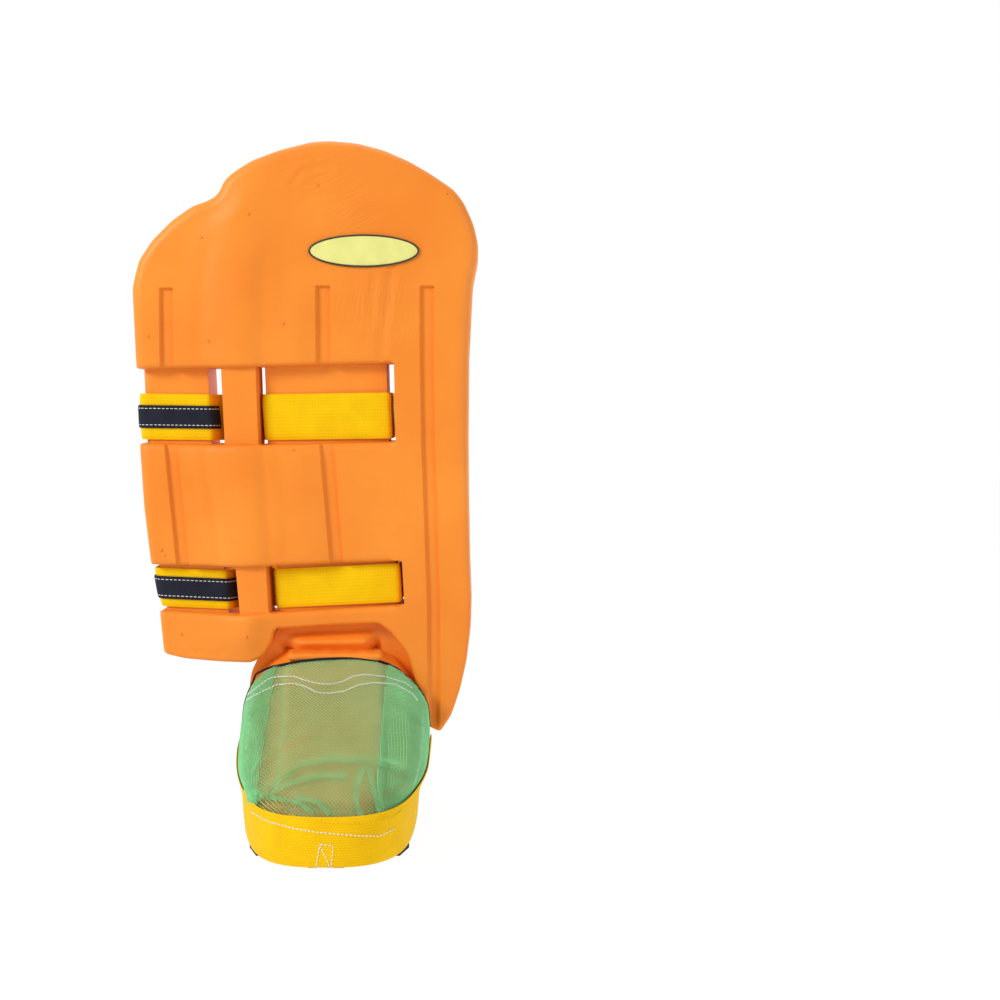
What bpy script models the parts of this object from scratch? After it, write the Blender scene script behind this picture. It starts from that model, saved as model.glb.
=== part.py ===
"""A goalkeeper's leg guard with its foot guard, in metres, +Z up, toe towards -Y, standing on its sole."""

import math

import bmesh
import bpy
import numpy as np

# Driving dimensions, in metres
MM = 0.001
GAP = 0.3 * MM  # clearance between pieces that touch

PAD_WIDTH = 300 * MM
PAD_HEIGHT = 514 * MM
PAD_DEPTH = 60 * MM
PAD_FRONT_Y = 15 * MM  # the raised panels' front plane
PAD_EDGE_ROUND = 9 * MM
PAD_EDGE_ROUND_LOW = 3.5 * MM
RIDGE_HEIGHT = 5 * MM
RECESS_DEPTH = 12 * MM
RECESS_EDGE_INSET = 4.5 * MM
WALL_SLOPE = 1.2 * MM  # how far a moulded step leans
GROOVE_DEPTH = 3 * MM
BAR_FRONT_DEPTH = 2 * MM
BAR_BACK_DEPTH = 26 * MM
BAR_DRAFT = 2.5 * MM
CHANNEL_DEPTH = 26 * MM
CHANNEL_WIDTH = 172 * MM
FLAP_DEPTH = 36 * MM
CROWN_DEPTH = 12 * MM  # how much thinner the pad is at its crown

FOOT_CENTRE_X = 23 * MM
FOOT_WIDTH = 150 * MM
FOOT_HEIGHT = 149 * MM
FOOT_TOE_Y = -153 * MM
FOOT_REAR_Y = 70 * MM
FOOT_SIDE_WALL = 16 * MM
FOOT_TOE_WALL = 24 * MM
RIB_WIDTH = 82 * MM
RIB_RELIEF = 8 * MM
RIB_EDGE = 6 * MM

LIP_DEPTH = 13 * MM  # from the panels' front to the rolled lip
LIP_THICKNESS = 17 * MM
LIP_ROLL = 17 * MM
LIP_WIDTH = 68 * MM

UPPER_STRAP_WIDTH = 40 * MM
LOWER_STRAP_WIDTH = 34 * MM
STRAP_EDGE_INSET = 2 * MM  # from the pad's side to the strap's inner face
SLOT_CLEARANCE = 1.4 * MM
STRAP_THICKNESS = 1.6 * MM
CALF_WIDTH = 112 * MM
CALF_CENTRE_X = 17 * MM
CALF_CENTRE_Y = 100 * MM
TAPE_WIDTH = 20 * MM
TAPE_THICKNESS = 1.2 * MM

COVER_THICKNESS = 1.2 * MM
COVER_PUFF = 4 * MM
COVER_BOTTOM_Z = 30 * MM
BINDING_WIDTH = 3 * MM
BINDING_THICKNESS = 1 * MM
BAND_WIDTH = 40 * MM
BAND_THICKNESS = 2 * MM
BAND_LINES = (-1.0, -0.6, -0.2, 0.2, 0.6, 1.0)  # places across the band, in half widths
SOLE_WEB_THICKNESS = 1.5 * MM
SOLE_WEB_WIDTH = 28 * MM
CROSS_STRAP_Y = -98 * MM
TOE_STRAP_X = 32 * MM

BADGE_WIDTH = 96 * MM
BADGE_HEIGHT = 28 * MM
BADGE_THICKNESS = 2.2 * MM

SOLE_LIFT = SOLE_WEB_THICKNESS + 2 * GAP + 0.1 * MM
COVER_OFFSET = 0.8 * MM
COVER_END_Y = PAD_FRONT_Y - 4 * MM
BAND_OFFSET = COVER_OFFSET + COVER_THICKNESS + 5 * GAP

# The pad stands with its lip on the foot guard's tongue
LIP_SHARE = 0.1395
PAD_BOTTOM_Z = FOOT_HEIGHT + GAP - LIP_SHARE * PAD_HEIGHT

# Feature lines up the pad: share of the width at the upper strap and at the lower strap
COLUMNS = {
    "groove_a_left": (0.086, 0.134),
    "groove_a_right": (0.118, 0.164),
    "slot_a_left": (0.214, 0.262),
    "bar_left": (0.249, 0.292),
    "bar_right": (0.366, 0.395),
    "bridge_left": (0.380, 0.414),
    "groove_b_left": (0.536, 0.578),
    "groove_b_right": (0.572, 0.611),
    "slot_b_left": (0.734, 0.762),
    "slot_b_right": (0.757, 0.782),
    "groove_c_left": (0.836, 0.853),
    "groove_c_right": (0.871, 0.884),
}

# Row lines across the pad: share of the height at the left edge, at the bar and at the right edge
ROWS = {
    "groove_top": (0.752, 0.757, 0.757),
    "upper_panel_foot": (0.619, 0.622, 0.633),
    "middle_panel_top": (0.491, 0.487, 0.496),
    "middle_panel_foot": (0.288, 0.283, 0.299),
    "lower_panel_top": (0.209, 0.199, 0.223),
}

# Outline of the pad's sides: share of the height, share of the width at the left and at the right
SIDES = (
    (0.099, 0.085, 0.968),
    (0.200, 0.076, 0.980),
    (0.330, 0.036, 0.972),
    (0.480, 0.018, 0.970),
    (0.620, 0.009, 0.971),
    (0.757, 0.000, 0.983),
    (0.800, 0.020, 0.998),
    (0.840, 0.066, 1.000),
    (0.870, 0.120, 0.980),
    (0.893, 0.178, 0.962),
    (0.906, 0.236, 0.947),
    (0.920, 0.256, 0.926),
)

# Outline of the crown from left to right: share of the width, share of the height
CROWN = (
    (0.256, 0.920),
    (0.300, 0.944),
    (0.360, 0.967),
    (0.430, 0.985),
    (0.520, 0.998),
    (0.570, 1.000),
    (0.650, 0.996),
    (0.730, 0.984),
    (0.800, 0.966),
    (0.860, 0.946),
    (0.926, 0.920),
)

# The pad's lower outline, left to right, one point for each feature line.
# Left of the arch and on the flap x is a share of the pad's width. In the arch it is a share of
# the foot guard's half width from its middle. Height is a share of the pad's height.
FOOT_LINE = (
    ("edge", "pad", 0.085, 0.135),
    ("groove_a_left", "pad", 0.140, 0.127),
    ("groove_a_right", "pad", 0.170, 0.125),
    ("slot_a_left", "pad", 0.250, 0.121),
    ("bar_left", "arch", -0.960, 0.119),
    ("bar_right", "arch", -0.800, 0.130),
    ("bridge_left", "arch", -0.700, 0.155),
    ("arch_left", "arch", -0.670, 0.176),
    ("groove_b_left", "arch", -0.090, 0.182),
    ("groove_b_right", "arch", 0.050, 0.183),
    ("slot_b_left", "arch", 0.540, 0.186),
    ("slot_b_right", "arch", 0.690, 0.168),
    ("arch_right", "arch", 0.870, 0.133),
    ("arch_side", "arch", 0.970, 0.083),
    ("groove_c_left", "arch", 1.090, 0.012),
    ("groove_c_right", "pad", 0.888, 0.000),
    ("edge", "pad", 0.919, 0.027),
)
FLAP_TAPER = 2.3

# Levels of the foot guard: share of its height, how far the toe's front stands back as a share of
# its length, the half width as a share, the sideways shift as a share of the half width, and the
# rounded nose's length as a share of the length
FOOT_LEVELS = (
    (0.000, 0.045, 0.83, 0.040, 0.53),
    (0.055, 0.010, 0.88, 0.040, 0.54),
    (0.150, 0.000, 0.90, 0.040, 0.54),
    (0.280, 0.004, 0.92, 0.040, 0.54),
    (0.362, 0.048, 0.96, 0.040, 0.53),
    (0.443, 0.120, 0.99, 0.040, 0.52),
    (0.564, 0.250, 1.00, 0.040, 0.48),
    (0.698, 0.402, 0.98, 0.027, 0.42),
    (0.832, 0.564, 0.90, -0.013, 0.33),
    (0.926, 0.690, 0.80, -0.013, 0.24),
    (1.000, 0.788, 0.72, 0.000, 0.17),
)
FOOT_ROUNDNESS = 2.5
LEVEL_SHARES = (0.0, 0.03, 0.09, 0.20, 0.28, 0.32, 0.362, 0.443, 0.564, 0.66, 0.76, 0.85, 0.93, 1.0)
SIDE_LINES = 3
TOE_SKEW = 0.16  # how far the toe's tip stands to one side, as a share of the half width

# The strap's route round the pad, seen from above
STRAP_LOOPS = (
    ("upper_strap", "upper_panel_foot", "middle_panel_top", UPPER_STRAP_WIDTH, 0),
    ("lower_strap", "middle_panel_foot", "lower_panel_top", LOWER_STRAP_WIDTH, 1),
)

# Name, base colour, roughness, metallic
FINISHES = {
    "pad_foam": ((0.93, 0.29, 0.05), 0.45, 0.0),
    "strap_yellow": ((0.95, 0.60, 0.0), 0.8, 0.0),
    "tape_black": ((0.015, 0.017, 0.03), 0.85, 0.0),
    "net_green": ((0.16, 0.50, 0.20), 0.8, 0.0),
    "plate_yellow": ((0.85, 0.80, 0.28), 0.3, 0.0),
}


def clear_scene():
    for obj in list(bpy.data.objects):
        bpy.data.objects.remove(obj)


def material(name):
    """The finish's material, made once."""
    found = bpy.data.materials.get(name)
    if found:
        return found
    colour, roughness, metallic = FINISHES[name]
    made = bpy.data.materials.new(name)
    made.use_nodes = True
    shader = made.node_tree.nodes["Principled BSDF"]
    shader.inputs["Base Color"].default_value = (*colour, 1.0)
    shader.inputs["Roughness"].default_value = roughness
    shader.inputs["Metallic"].default_value = metallic
    return made


def add_object(name, points, faces, finish, smooth_degrees=35):
    mesh = bpy.data.meshes.new(name)
    mesh.from_pydata([tuple(map(float, p)) for p in points], [], faces)
    mesh.validate()
    mesh.update()
    mesh.shade_smooth()
    mesh.set_sharp_from_angle(angle=math.radians(smooth_degrees))
    mesh.materials.append(material(finish))
    obj = bpy.data.objects.new(name, mesh)
    bpy.context.scene.collection.objects.link(obj)
    return obj


def grid_faces(rows, columns, start=0, flip=False, holes=()):
    """Quads of a grid stored row by row, without the cells in holes."""
    faces = []
    for r in range(rows - 1):
        for c in range(columns - 1):
            if (r, c) in holes:
                continue
            a = start + r * columns + c
            quad = (a, a + 1, a + columns + 1, a + columns)
            faces.append(quad[::-1] if flip else quad)
    return faces


def boundary_edges(faces):
    """The directed edges that only one face has."""
    edges = {}
    for face in faces:
        for a, b in zip(face, face[1:] + face[:1]):
            edges[(a, b)] = True
    return [(a, b) for a, b in edges if (b, a) not in edges]


def smooth_step(value):
    value = np.clip(value, 0.0, 1.0)
    return value * value * (3 - 2 * value)


def pad_x(share):
    return (share - 0.5) * PAD_WIDTH


def pad_z(share):
    return PAD_BOTTOM_Z + share * PAD_HEIGHT


UPPER_LEVEL = 0.555
LOWER_LEVEL = 0.250


def column_share(name, height):
    """The feature line's place across the pad at a height, straight below the upper strap."""
    upper, lower = COLUMNS[name]
    return upper + (lower - upper) * max(0.0, UPPER_LEVEL - height) / (UPPER_LEVEL - LOWER_LEVEL)


def row_share(name, across):
    """The row line's height at a place across the pad."""
    return np.interp(across, (0.0, 0.30, 1.0), ROWS[name])


def side_share(height, side):
    table = np.array(SIDES)
    return np.interp(height, table[:, 0], table[:, 1 + side])


def column_lines():
    """The pad's vertical grid lines: name, step to one side in metres, and place between two names."""
    lines = [("edge_left", 0.0), ("edge_left", 0.25), ("edge_left", 1.0)]
    for name in COLUMNS:
        if name.startswith("groove"):
            side = -1 if name.endswith("left") else 1
            lines += sorted([(name, 0.0), (name, side * 1.0)], key=lambda pair: pair[1])
        elif name in ("slot_a_left", "bar_right", "bridge_left", "slot_b_left"):
            lines.append((name, 0.0))
        else:
            lines.append((name, 0.0))
    return lines + [("edge_right", -1.0), ("edge_right", -0.25), ("edge_right", 0.0)]


def column_place(line, height):
    """Where a vertical grid line crosses a height, in metres."""
    name, step = line
    if name.startswith("edge"):
        side = 0 if name == "edge_left" else 1
        return pad_x(side_share(height, side)) + step * PAD_EDGE_ROUND
    return pad_x(column_share(name, height)) + step * WALL_SLOPE


def foot_x(kind, share):
    if kind == "pad":
        return pad_x(share)
    return FOOT_CENTRE_X + share * FOOT_WIDTH / 2


def with_between(values, counts):
    """The values with counts[i] evenly spaced ones put between value i and the next."""
    out = []
    for i, value in enumerate(values[:-1]):
        steps = counts[i] + 1
        out += [value + (values[i + 1] - value) * k / steps for k in range(steps)]
    return np.array(out + [values[-1]])


class Pad:
    """The pad's grid: rows from the crown down, columns from left to right."""

    def __init__(self):
        lines = column_lines()
        names = [name for name, _ in lines]
        # extra lines between feature lines, where the ridge and the channel curve
        self.extra = [0] * (len(lines) - 1)
        for i in range(len(lines) - 1):
            a, b = lines[i][0], lines[i + 1][0]
            if (a, b) in (("groove_a_right", "slot_a_left"), ("edge_left", "groove_a_left")):
                self.extra[i] = 1
            if (a, b) in (("bar_left", "bar_right"), ("groove_b_right", "slot_b_left")):
                self.extra[i] = 2
            if (a, b) in (("bridge_left", "groove_b_left"),):
                self.extra[i] = 3
            if (a, b) in (("slot_b_right", "groove_c_left"),):
                self.extra[i] = 2
            if (a, b) == ("groove_c_right", "edge_right"):
                self.extra[i] = 1
        self.lines = lines
        self.at = {}
        place = 0
        for i, name in enumerate(names):
            self.at.setdefault(name, []).append(place)
            place += 1 + (self.extra[i] if i < len(self.extra) else 0)
        self.columns = place
        self.rows = []
        self.row_at = {}
        self.build_rows()

    def row_from(self, heights_at):
        """One row: x of each line at the row's middle height, then z from the row's own line."""
        middle = heights_at(0.5)
        xs = np.array([column_place(line, middle) for line in self.lines])
        shares = xs / PAD_WIDTH + 0.5
        zs = np.array([pad_z(heights_at(share)) for share in shares])
        xs[:3] = [column_place(line, heights_at(0.0)) for line in self.lines[:3]]
        xs[-3:] = [column_place(line, heights_at(1.0)) for line in self.lines[-3:]]
        return with_between(xs, self.extra), with_between(zs, self.extra)

    def add_row(self, name, x, z):
        self.row_at[name] = len(self.rows)
        self.rows.append(np.stack([x, z], axis=1))

    def step_row(self, name, step):
        """A row line moved down by a step in metres."""
        x, z = self.row_from(lambda share: row_share(name, share))
        return x, z + step

    def build_rows(self):
        groove_x, groove_z = self.row_from(lambda share: row_share("groove_top", share))
        groove = np.stack([groove_x, groove_z], axis=1)
        crown_table = np.array(CROWN)
        span = (groove_x - groove_x[0]) / (groove_x[-1] - groove_x[0])
        crown_share = crown_table[0, 0] + span * (crown_table[-1, 0] - crown_table[0, 0])
        crown = np.stack(
            [pad_x(crown_share), pad_z(np.interp(crown_share, crown_table[:, 0], crown_table[:, 1]))],
            axis=1,
        )
        for k, share in enumerate((0.0, 0.02, 0.07, 0.2, 0.38, 0.56, 0.74, 0.9)):
            mixed = crown * (1 - share) + groove * share
            height = (mixed[:, 1] - PAD_BOTTOM_Z) / PAD_HEIGHT
            if k:
                left = pad_x(np.interp(height[0], [r[0] for r in SIDES], [r[1] for r in SIDES]))
                right = pad_x(np.interp(height[-1], [r[0] for r in SIDES], [r[2] for r in SIDES]))
                old = mixed[:, 0].copy()
                mixed[:, 0] = left + (old - old[0]) / (old[-1] - old[0]) * (right - left)
            self.add_row(f"crown{k}", mixed[:, 0], mixed[:, 1])
        self.add_row("groove_top", groove_x, groove_z)
        self.add_row("groove_start", groove_x, groove_z - WALL_SLOPE)
        x, z = self.row_from(lambda share: row_share("upper_panel_foot", share) + 0.07)
        self.add_row("upper_panel", x, z)
        for top, foot in (("upper_panel_foot", "middle_panel_top"), ("middle_panel_foot", "lower_panel_top")):
            self.add_row(top, *self.step_row(top, 0.0))
            self.add_row(top + "_floor", *self.step_row(top, -WALL_SLOPE))
            x_top, z_top = self.step_row(top, 0.0)
            x_foot, z_foot = self.step_row(foot, 0.0)
            self.add_row(top + "_middle", (x_top + x_foot) / 2, (z_top + z_foot) / 2)
            self.add_row(foot + "_floor", *self.step_row(foot, WALL_SLOPE))
            self.add_row(foot, *self.step_row(foot, 0.0))
            if foot == "middle_panel_top":
                x, z = self.row_from(lambda share: row_share("middle_panel_foot", share) + 0.10)
                self.add_row("middle_panel", x, z)
        self.add_foot_rows()

    def add_foot_rows(self):
        """The rows below the lower panel's top, which turn into the foot line."""
        last = self.rows[-1]
        names = []
        points = []
        for name, kind, x_share, z_share in FOOT_LINE:
            names.append(name)
            points.append((foot_x(kind, x_share), pad_z(z_share)))
        points = np.array(points)
        keys = self.foot_keys(names)
        x = np.interp(np.arange(self.columns), keys, points[:, 0])
        z = np.interp(np.arange(self.columns), keys, points[:, 1])
        foot = np.stack([x, z], axis=1)
        flap = self.at["groove_c_left"][0]
        for k, share in enumerate((0.25, 0.5, 0.75, 0.93, 0.985, 1.0)):
            mixed = last * (1 - share) + foot * share
            # the flap keeps its width until near its end
            late = share**FLAP_TAPER
            mixed[flap:, 0] = last[flap:, 0] * (1 - late) + foot[flap:, 0] * late
            self.add_row(f"foot{k}", mixed[:, 0], mixed[:, 1])

    def foot_keys(self, names):
        """The grid column of each point of the foot line."""
        right = self.at["slot_b_right"][0]
        flap = self.at["groove_c_left"][0]
        arch_left = self.at["bridge_left"][0] + 1
        keys = [0.0]
        for name in names[1:-1]:
            if name == "arch_left":
                keys.append(arch_left)
            elif name == "arch_right":
                keys.append(right + (flap - right) / 3)
            elif name == "arch_side":
                keys.append(right + (flap - right) * 2 / 3)
            else:
                keys.append(self.at[name][-1] if name.endswith("right") else self.at[name][0])
        return keys + [self.columns - 1.0]

    def outline(self, grid):
        return np.concatenate([grid[0], grid[1:, -1], grid[-1, ::-1][1:], grid[::-1, 0][1:]])

    def edge_distance(self, grid):
        """Each grid point's distance to the outline."""
        line = self.outline(grid)
        start, end = line[:-1], line[1:]
        span = end - start
        size = np.maximum((span**2).sum(axis=1), 1e-12)
        flat = grid.reshape(-1, 1, 2)
        share = np.clip(((flat - start) * span).sum(axis=2) / size, 0, 1)
        near = start + share[..., None] * span
        return np.sqrt(((flat - near) ** 2).sum(axis=2)).min(axis=1).reshape(grid.shape[:2])

    def in_rows(self, top, foot):
        """The rows of a recess's floor."""
        return slice(self.row_at[top + "_floor"], self.row_at[foot + "_floor"] + 1)

    def surfaces(self):
        """The front and back grids, as points."""
        grid = np.array(self.rows)
        distance = self.edge_distance(grid)
        height = (grid[..., 1] - PAD_BOTTOM_Z) / PAD_HEIGHT
        across = grid[..., 0] / PAD_WIDTH + 0.5
        edge_round = PAD_EDGE_ROUND_LOW + (PAD_EDGE_ROUND - PAD_EDGE_ROUND_LOW) * smooth_step(
            (height - 0.2) / 0.4
        )
        inside = np.clip(1 - distance / edge_round, 0, 1)
        rim = edge_round * (1 - np.sqrt(1 - inside**2 * 0.99))
        front = rim.copy()
        # the long ridge up the bar's line, with a lower swell beside it
        ridge_line = (COLUMNS["bar_left"][0] + COLUMNS["bar_right"][0]) / 2
        lean = np.maximum(0, UPPER_LEVEL - height) * 0.12
        away = (across - ridge_line - lean) / 0.085
        swell = 0.5 * np.exp(-((away - 1.9) ** 2) / 0.5) * smooth_step((0.78 - height) / 0.08)
        ridge = np.exp(-(away**2)) + swell
        fade = smooth_step(distance / (3 * PAD_EDGE_ROUND)) * smooth_step((1 - height) / 0.15)
        panel = ~self.recessed(grid)
        front -= RIDGE_HEIGHT * ridge * fade * panel
        front += self.grooves(grid)
        self.recesses(front, rim)
        depth = PAD_DEPTH - CROWN_DEPTH * smooth_step((height - 0.72) / 0.28)
        depth = depth - (PAD_DEPTH - FLAP_DEPTH) * smooth_step((0.22 - height) / 0.16)
        shape = np.clip((grid[..., 0] - CALF_CENTRE_X) / (CHANNEL_WIDTH / 2), -1, 1)
        channel = CHANNEL_DEPTH * (0.5 + 0.5 * np.cos(np.pi * shape))
        channel *= smooth_step((1 - height) / 0.12)
        channel *= 1 - smooth_step((0.10 - height) / 0.06)
        back = depth - np.minimum(channel, depth - 20 * MM) - rim
        return grid, front, back

    def recessed(self, grid):
        mask = np.zeros(grid.shape[:2], bool)
        stop = self.at["slot_b_left"][0]
        mask[self.in_rows("upper_panel_foot", "middle_panel_top"), : stop + 1] = True
        mask[self.in_rows("middle_panel_foot", "lower_panel_top"), : stop + 1] = True
        return mask

    def grooves(self, grid):
        """The depth of the three shallow grooves at each grid point."""
        depth = np.zeros(grid.shape[:2])
        start = self.row_at["groove_start"]
        first_foot = self.row_at["upper_panel_foot"]
        middle = slice(self.row_at["middle_panel_top"], self.row_at["middle_panel_foot"] + 1)
        low = self.row_at["foot3"]
        for letter in "abc":
            left = self.at[f"groove_{letter}_left"][1]
            right = self.at[f"groove_{letter}_right"][0]
            if letter == "c":
                depth[start : low + 1, left : right + 1] = GROOVE_DEPTH
                continue
            depth[start : first_foot + 1, left : right + 1] = GROOVE_DEPTH
            depth[middle, left : right + 1] = GROOVE_DEPTH
        return depth

    def recesses(self, front, rim):
        """Sinks the strap recesses and sets the bars in them."""
        stop = self.at["slot_b_left"][0]
        bar = slice(self.at["bar_left"][0], self.at["bar_right"][0] + 1)
        for rows in (
            self.in_rows("upper_panel_foot", "middle_panel_top"),
            self.in_rows("middle_panel_foot", "lower_panel_top"),
        ):
            front[rows, : stop + 1] = RECESS_DEPTH + np.minimum(rim[rows, : stop + 1], PAD_EDGE_ROUND)
            front[rows, bar] = BAR_FRONT_DEPTH

    def build(self):
        grid, front, back = self.surfaces()
        rows, columns = front.shape
        holes = set()
        bar = slice(self.at["bar_left"][0], self.at["bar_right"][0] + 1)
        front_x = grid[..., 0].copy()
        back_x = grid[..., 0].copy()
        for top, foot in (("upper_panel_foot", "middle_panel_top"), ("middle_panel_foot", "lower_panel_top")):
            span = self.in_rows(top, foot)
            for first, last in (
                ("slot_a_left", "bar_left"),
                ("bar_right", "bridge_left"),
                ("slot_b_left", "slot_b_right"),
            ):
                for r in range(span.start, span.stop - 1):
                    for c in range(self.at[first][0], self.at[last][0]):
                        holes.add((r, c))
            back[span, bar] = BAR_BACK_DEPTH
            front_x[span, bar.start] += BAR_DRAFT
            front_x[span, bar.stop - 1] -= BAR_DRAFT
            inset = np.array([1.0, 0.9, 0.5]) * RECESS_EDGE_INSET
            front_x[span, :3] += inset
            back_x[span, :3] += inset
        count = rows * columns
        points = np.concatenate(
            [
                np.stack([front_x, front + PAD_FRONT_Y, grid[..., 1]], axis=2).reshape(-1, 3),
                np.stack([back_x, back + PAD_FRONT_Y, grid[..., 1]], axis=2).reshape(-1, 3),
            ]
        )
        faces = grid_faces(rows, columns, 0, flip=True, holes=holes)
        back_faces = [tuple(i + count for i in face[::-1]) for face in faces]
        walls = [(b, a, a + count, b + count) for a, b in boundary_edges(faces)]
        # the crown's end columns meet the sides at one point, so doubles are merged there
        obj = add_object("pad_shell", points, faces + back_faces + walls, "pad_foam")
        add_lip(obj)
        return self


def add_lip(pad):
    """Joins the rolled lip to the pad: a plate hanging from the arch's ceiling with a round front edge."""
    foot = pad_z(LIP_SHARE)
    top = pad_z(0.205)
    front, thick, roll = LIP_DEPTH, LIP_THICKNESS, LIP_ROLL
    profile = (
        (front + thick * 0.45, top),
        (front + thick * 0.45, foot + roll * 1.05),
        (front + thick * 0.12, foot + roll * 0.82),
        (front, foot + roll * 0.5),
        (front + thick * 0.12, foot + roll * 0.18),
        (front + thick * 0.38, foot),
        (front + thick, foot),
        (front + thick * 1.2, foot + roll * 0.2),
        (front + thick * 1.2, top),
    )
    middle = FOOT_CENTRE_X
    half = LIP_WIDTH / 2
    stations = ((-half, 0.55), (-half + 6 * MM, 1.0), (half - 6 * MM, 1.0), (half, 0.55))
    points = []
    for x, size in stations:
        for y, z in profile:
            y_middle = front + thick * 0.8
            points.append(
                (middle + x, PAD_FRONT_Y + y_middle + (y - y_middle) * size, top + (z - top) * (1 if size == 1 else 0.9))
            )
    n = len(profile)
    faces = []
    for s in range(len(stations) - 1):
        for k in range(n):
            a, b = s * n + k, s * n + (k + 1) % n
            faces.append((a, b, b + n, a + n))
    faces.append(tuple(range(n))[::-1])
    faces.append(tuple(range((len(stations) - 1) * n, len(stations) * n)))
    lip = add_object("lip_form", points, faces, "pad_foam")
    recalculate(lip)
    recalculate(pad)
    lip.hide_render = True
    lip.display_type = "WIRE"
    join = pad.modifiers.new("rolled lip", "BOOLEAN")
    join.operation = "UNION"
    join.solver = "EXACT"
    join.object = lip


def recalculate(obj):
    """Merges doubles and turns every face outwards."""
    work = bmesh.new()
    work.from_mesh(obj.data)
    bmesh.ops.remove_doubles(work, verts=work.verts, dist=0.00001)
    bmesh.ops.recalc_face_normals(work, faces=work.faces)
    work.to_mesh(obj.data)
    work.free()
    obj.data.update()


class FootGuard:
    """The foot guard's outside as level outlines, each a U with a rounded nose."""

    def __init__(self):
        self.table = np.array(FOOT_LEVELS)
        self.length = FOOT_REAR_Y - FOOT_TOE_Y

    def level(self, height_share):
        """Toe front, half width, middle and nose length at a share of the height, in metres."""
        row = [np.interp(height_share, self.table[:, 0], self.table[:, k]) for k in range(1, 5)]
        tip = FOOT_TOE_Y + row[0] * self.length
        half = row[1] * FOOT_WIDTH / 2
        middle = FOOT_CENTRE_X + row[2] * FOOT_WIDTH / 2
        nose = min(row[3] * self.length, FOOT_REAR_Y - 2 * MM - tip)
        return tip, half, middle, nose

    def across_lines(self, half, reach, sides):
        """Places across the nose from -1 to 1: lines at the rib's edges, then spread to the side."""
        rib_in, rib_out = ((RIB_WIDTH / 2 + step) / half for step in (-RIB_EDGE / 2, RIB_EDGE / 2))
        spread = 6 + SIDE_LINES - sides
        turn = np.sin(np.arange(1, spread + 1) / spread * math.pi / 2)
        if rib_out < 0.97 * reach:
            right = np.concatenate([[rib_in / 2, rib_in, rib_out], rib_out + (reach - rib_out) * turn])
        else:
            right = reach * np.arange(1, spread + 4) / (spread + 3)
        return np.concatenate([-right[::-1], [0.0], right])

    def outline(self, height_share, offset, end_y, rib=True):
        """Points of one level from the left rear round the toe to the right rear, ending at end_y."""
        tip, half, middle, nose = self.level(height_share)
        tip, half, nose = tip - offset, half + offset, nose + offset
        widest = tip + nose
        reach = 1.0
        if end_y < widest:
            deep = (widest - end_y) / nose
            reach = (1 - deep**FOOT_ROUNDNESS) ** (1 / FOOT_ROUNDNESS)
        sides = SIDE_LINES if end_y > widest else 0
        across = self.across_lines(half, reach, sides)
        rounded = np.maximum(0, 1 - np.abs(across) ** FOOT_ROUNDNESS) ** (1 / FOOT_ROUNDNESS)
        y = widest - nose * rounded
        if not sides:
            y[0] = y[-1] = end_y
        forward = np.clip((widest - y) / self.length, 0, None)
        x = middle + half * across + TOE_SKEW * half * forward
        if rib and height_share > 0:
            edge = np.abs(across) * half
            raised = 1 - smooth_step((edge - (RIB_WIDTH - RIB_EDGE) / 2) / RIB_EDGE)
            y -= RIB_RELIEF * raised * smooth_step((height_share - 0.30) / 0.12)
        if sides:
            side = np.linspace(end_y, widest, sides + 1)[:-1]
            narrow = half * (1 - 0.10 * (side - widest) / self.length)
            x = np.concatenate([middle - narrow, x, (middle + narrow)[::-1]])
            y = np.concatenate([side, y, side[::-1]])
        return np.stack([x, y], axis=1)


def sole_lift(y):
    """The foot guard's underside is lifted over the webbing at the toe."""
    return SOLE_LIFT * (1 - smooth_step((y - (CROSS_STRAP_Y + 20 * MM)) / (18 * MM)))


def closed_shell(outer, inner):
    """Points and faces of a wall between two grids of the same size, closed all round."""
    rows, columns = outer.shape[:2]
    count = rows * columns
    points = np.concatenate([outer.reshape(-1, 3), inner.reshape(-1, 3)])
    faces = grid_faces(rows, columns)
    back = [tuple(i + count for i in face[::-1]) for face in faces]
    walls = [(b, a, a + count, b + count) for a, b in boundary_edges(faces)]
    return points, faces + back + walls


def build_foot_guard(foot):
    outer, inner = [], []
    for share in LEVEL_SHARES:
        edge = foot.outline(share, 0.0, FOOT_REAR_Y)
        sloped = smooth_step((share - 0.3) / 0.2) * (1 - smooth_step((share - 0.8) / 0.2))
        within = inner_outline(foot, share, FOOT_TOE_WALL * (1 + 0.5 * sloped))
        for grid, line in ((outer, edge), (inner, within)):
            z = sole_lift(line[:, 1]) if share == 0 else np.full(len(line), share * FOOT_HEIGHT)
            grid.append(np.column_stack([line, z]))
    points, faces = closed_shell(np.array(outer), np.array(inner))
    obj = add_object("foot_guard", points, faces, "pad_foam")
    recalculate(obj)


def inner_outline(foot, share, toe_wall):
    """The foot's hollow at one level: set in from the outside by the side and toe walls."""
    tip, half, middle, nose = foot.level(share)
    across = foot.across_lines(half, 1.0, SIDE_LINES)
    half -= FOOT_SIDE_WALL
    widest = tip + nose
    nose -= toe_wall
    y = widest - nose * np.maximum(0, 1 - np.abs(across) ** FOOT_ROUNDNESS) ** (1 / FOOT_ROUNDNESS)
    forward = np.clip((widest - y) / foot.length, 0, None)
    x = middle + half * across + TOE_SKEW * half * forward
    side = np.linspace(FOOT_REAR_Y, widest, SIDE_LINES + 1)[:-1]
    narrow = half * (1 - 0.10 * (side - widest) / foot.length)
    x = np.concatenate([middle - narrow, x, (middle + narrow)[::-1]])
    return np.stack([x, np.concatenate([side, y, side[::-1]])], axis=1)


def puffed(share):
    """How far the cover stands off the foot guard at a level."""
    return COVER_PUFF * smooth_step((share - 0.29) / 0.12) * (1 - 0.6 * smooth_step((share - 0.7) / 0.25))


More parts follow.
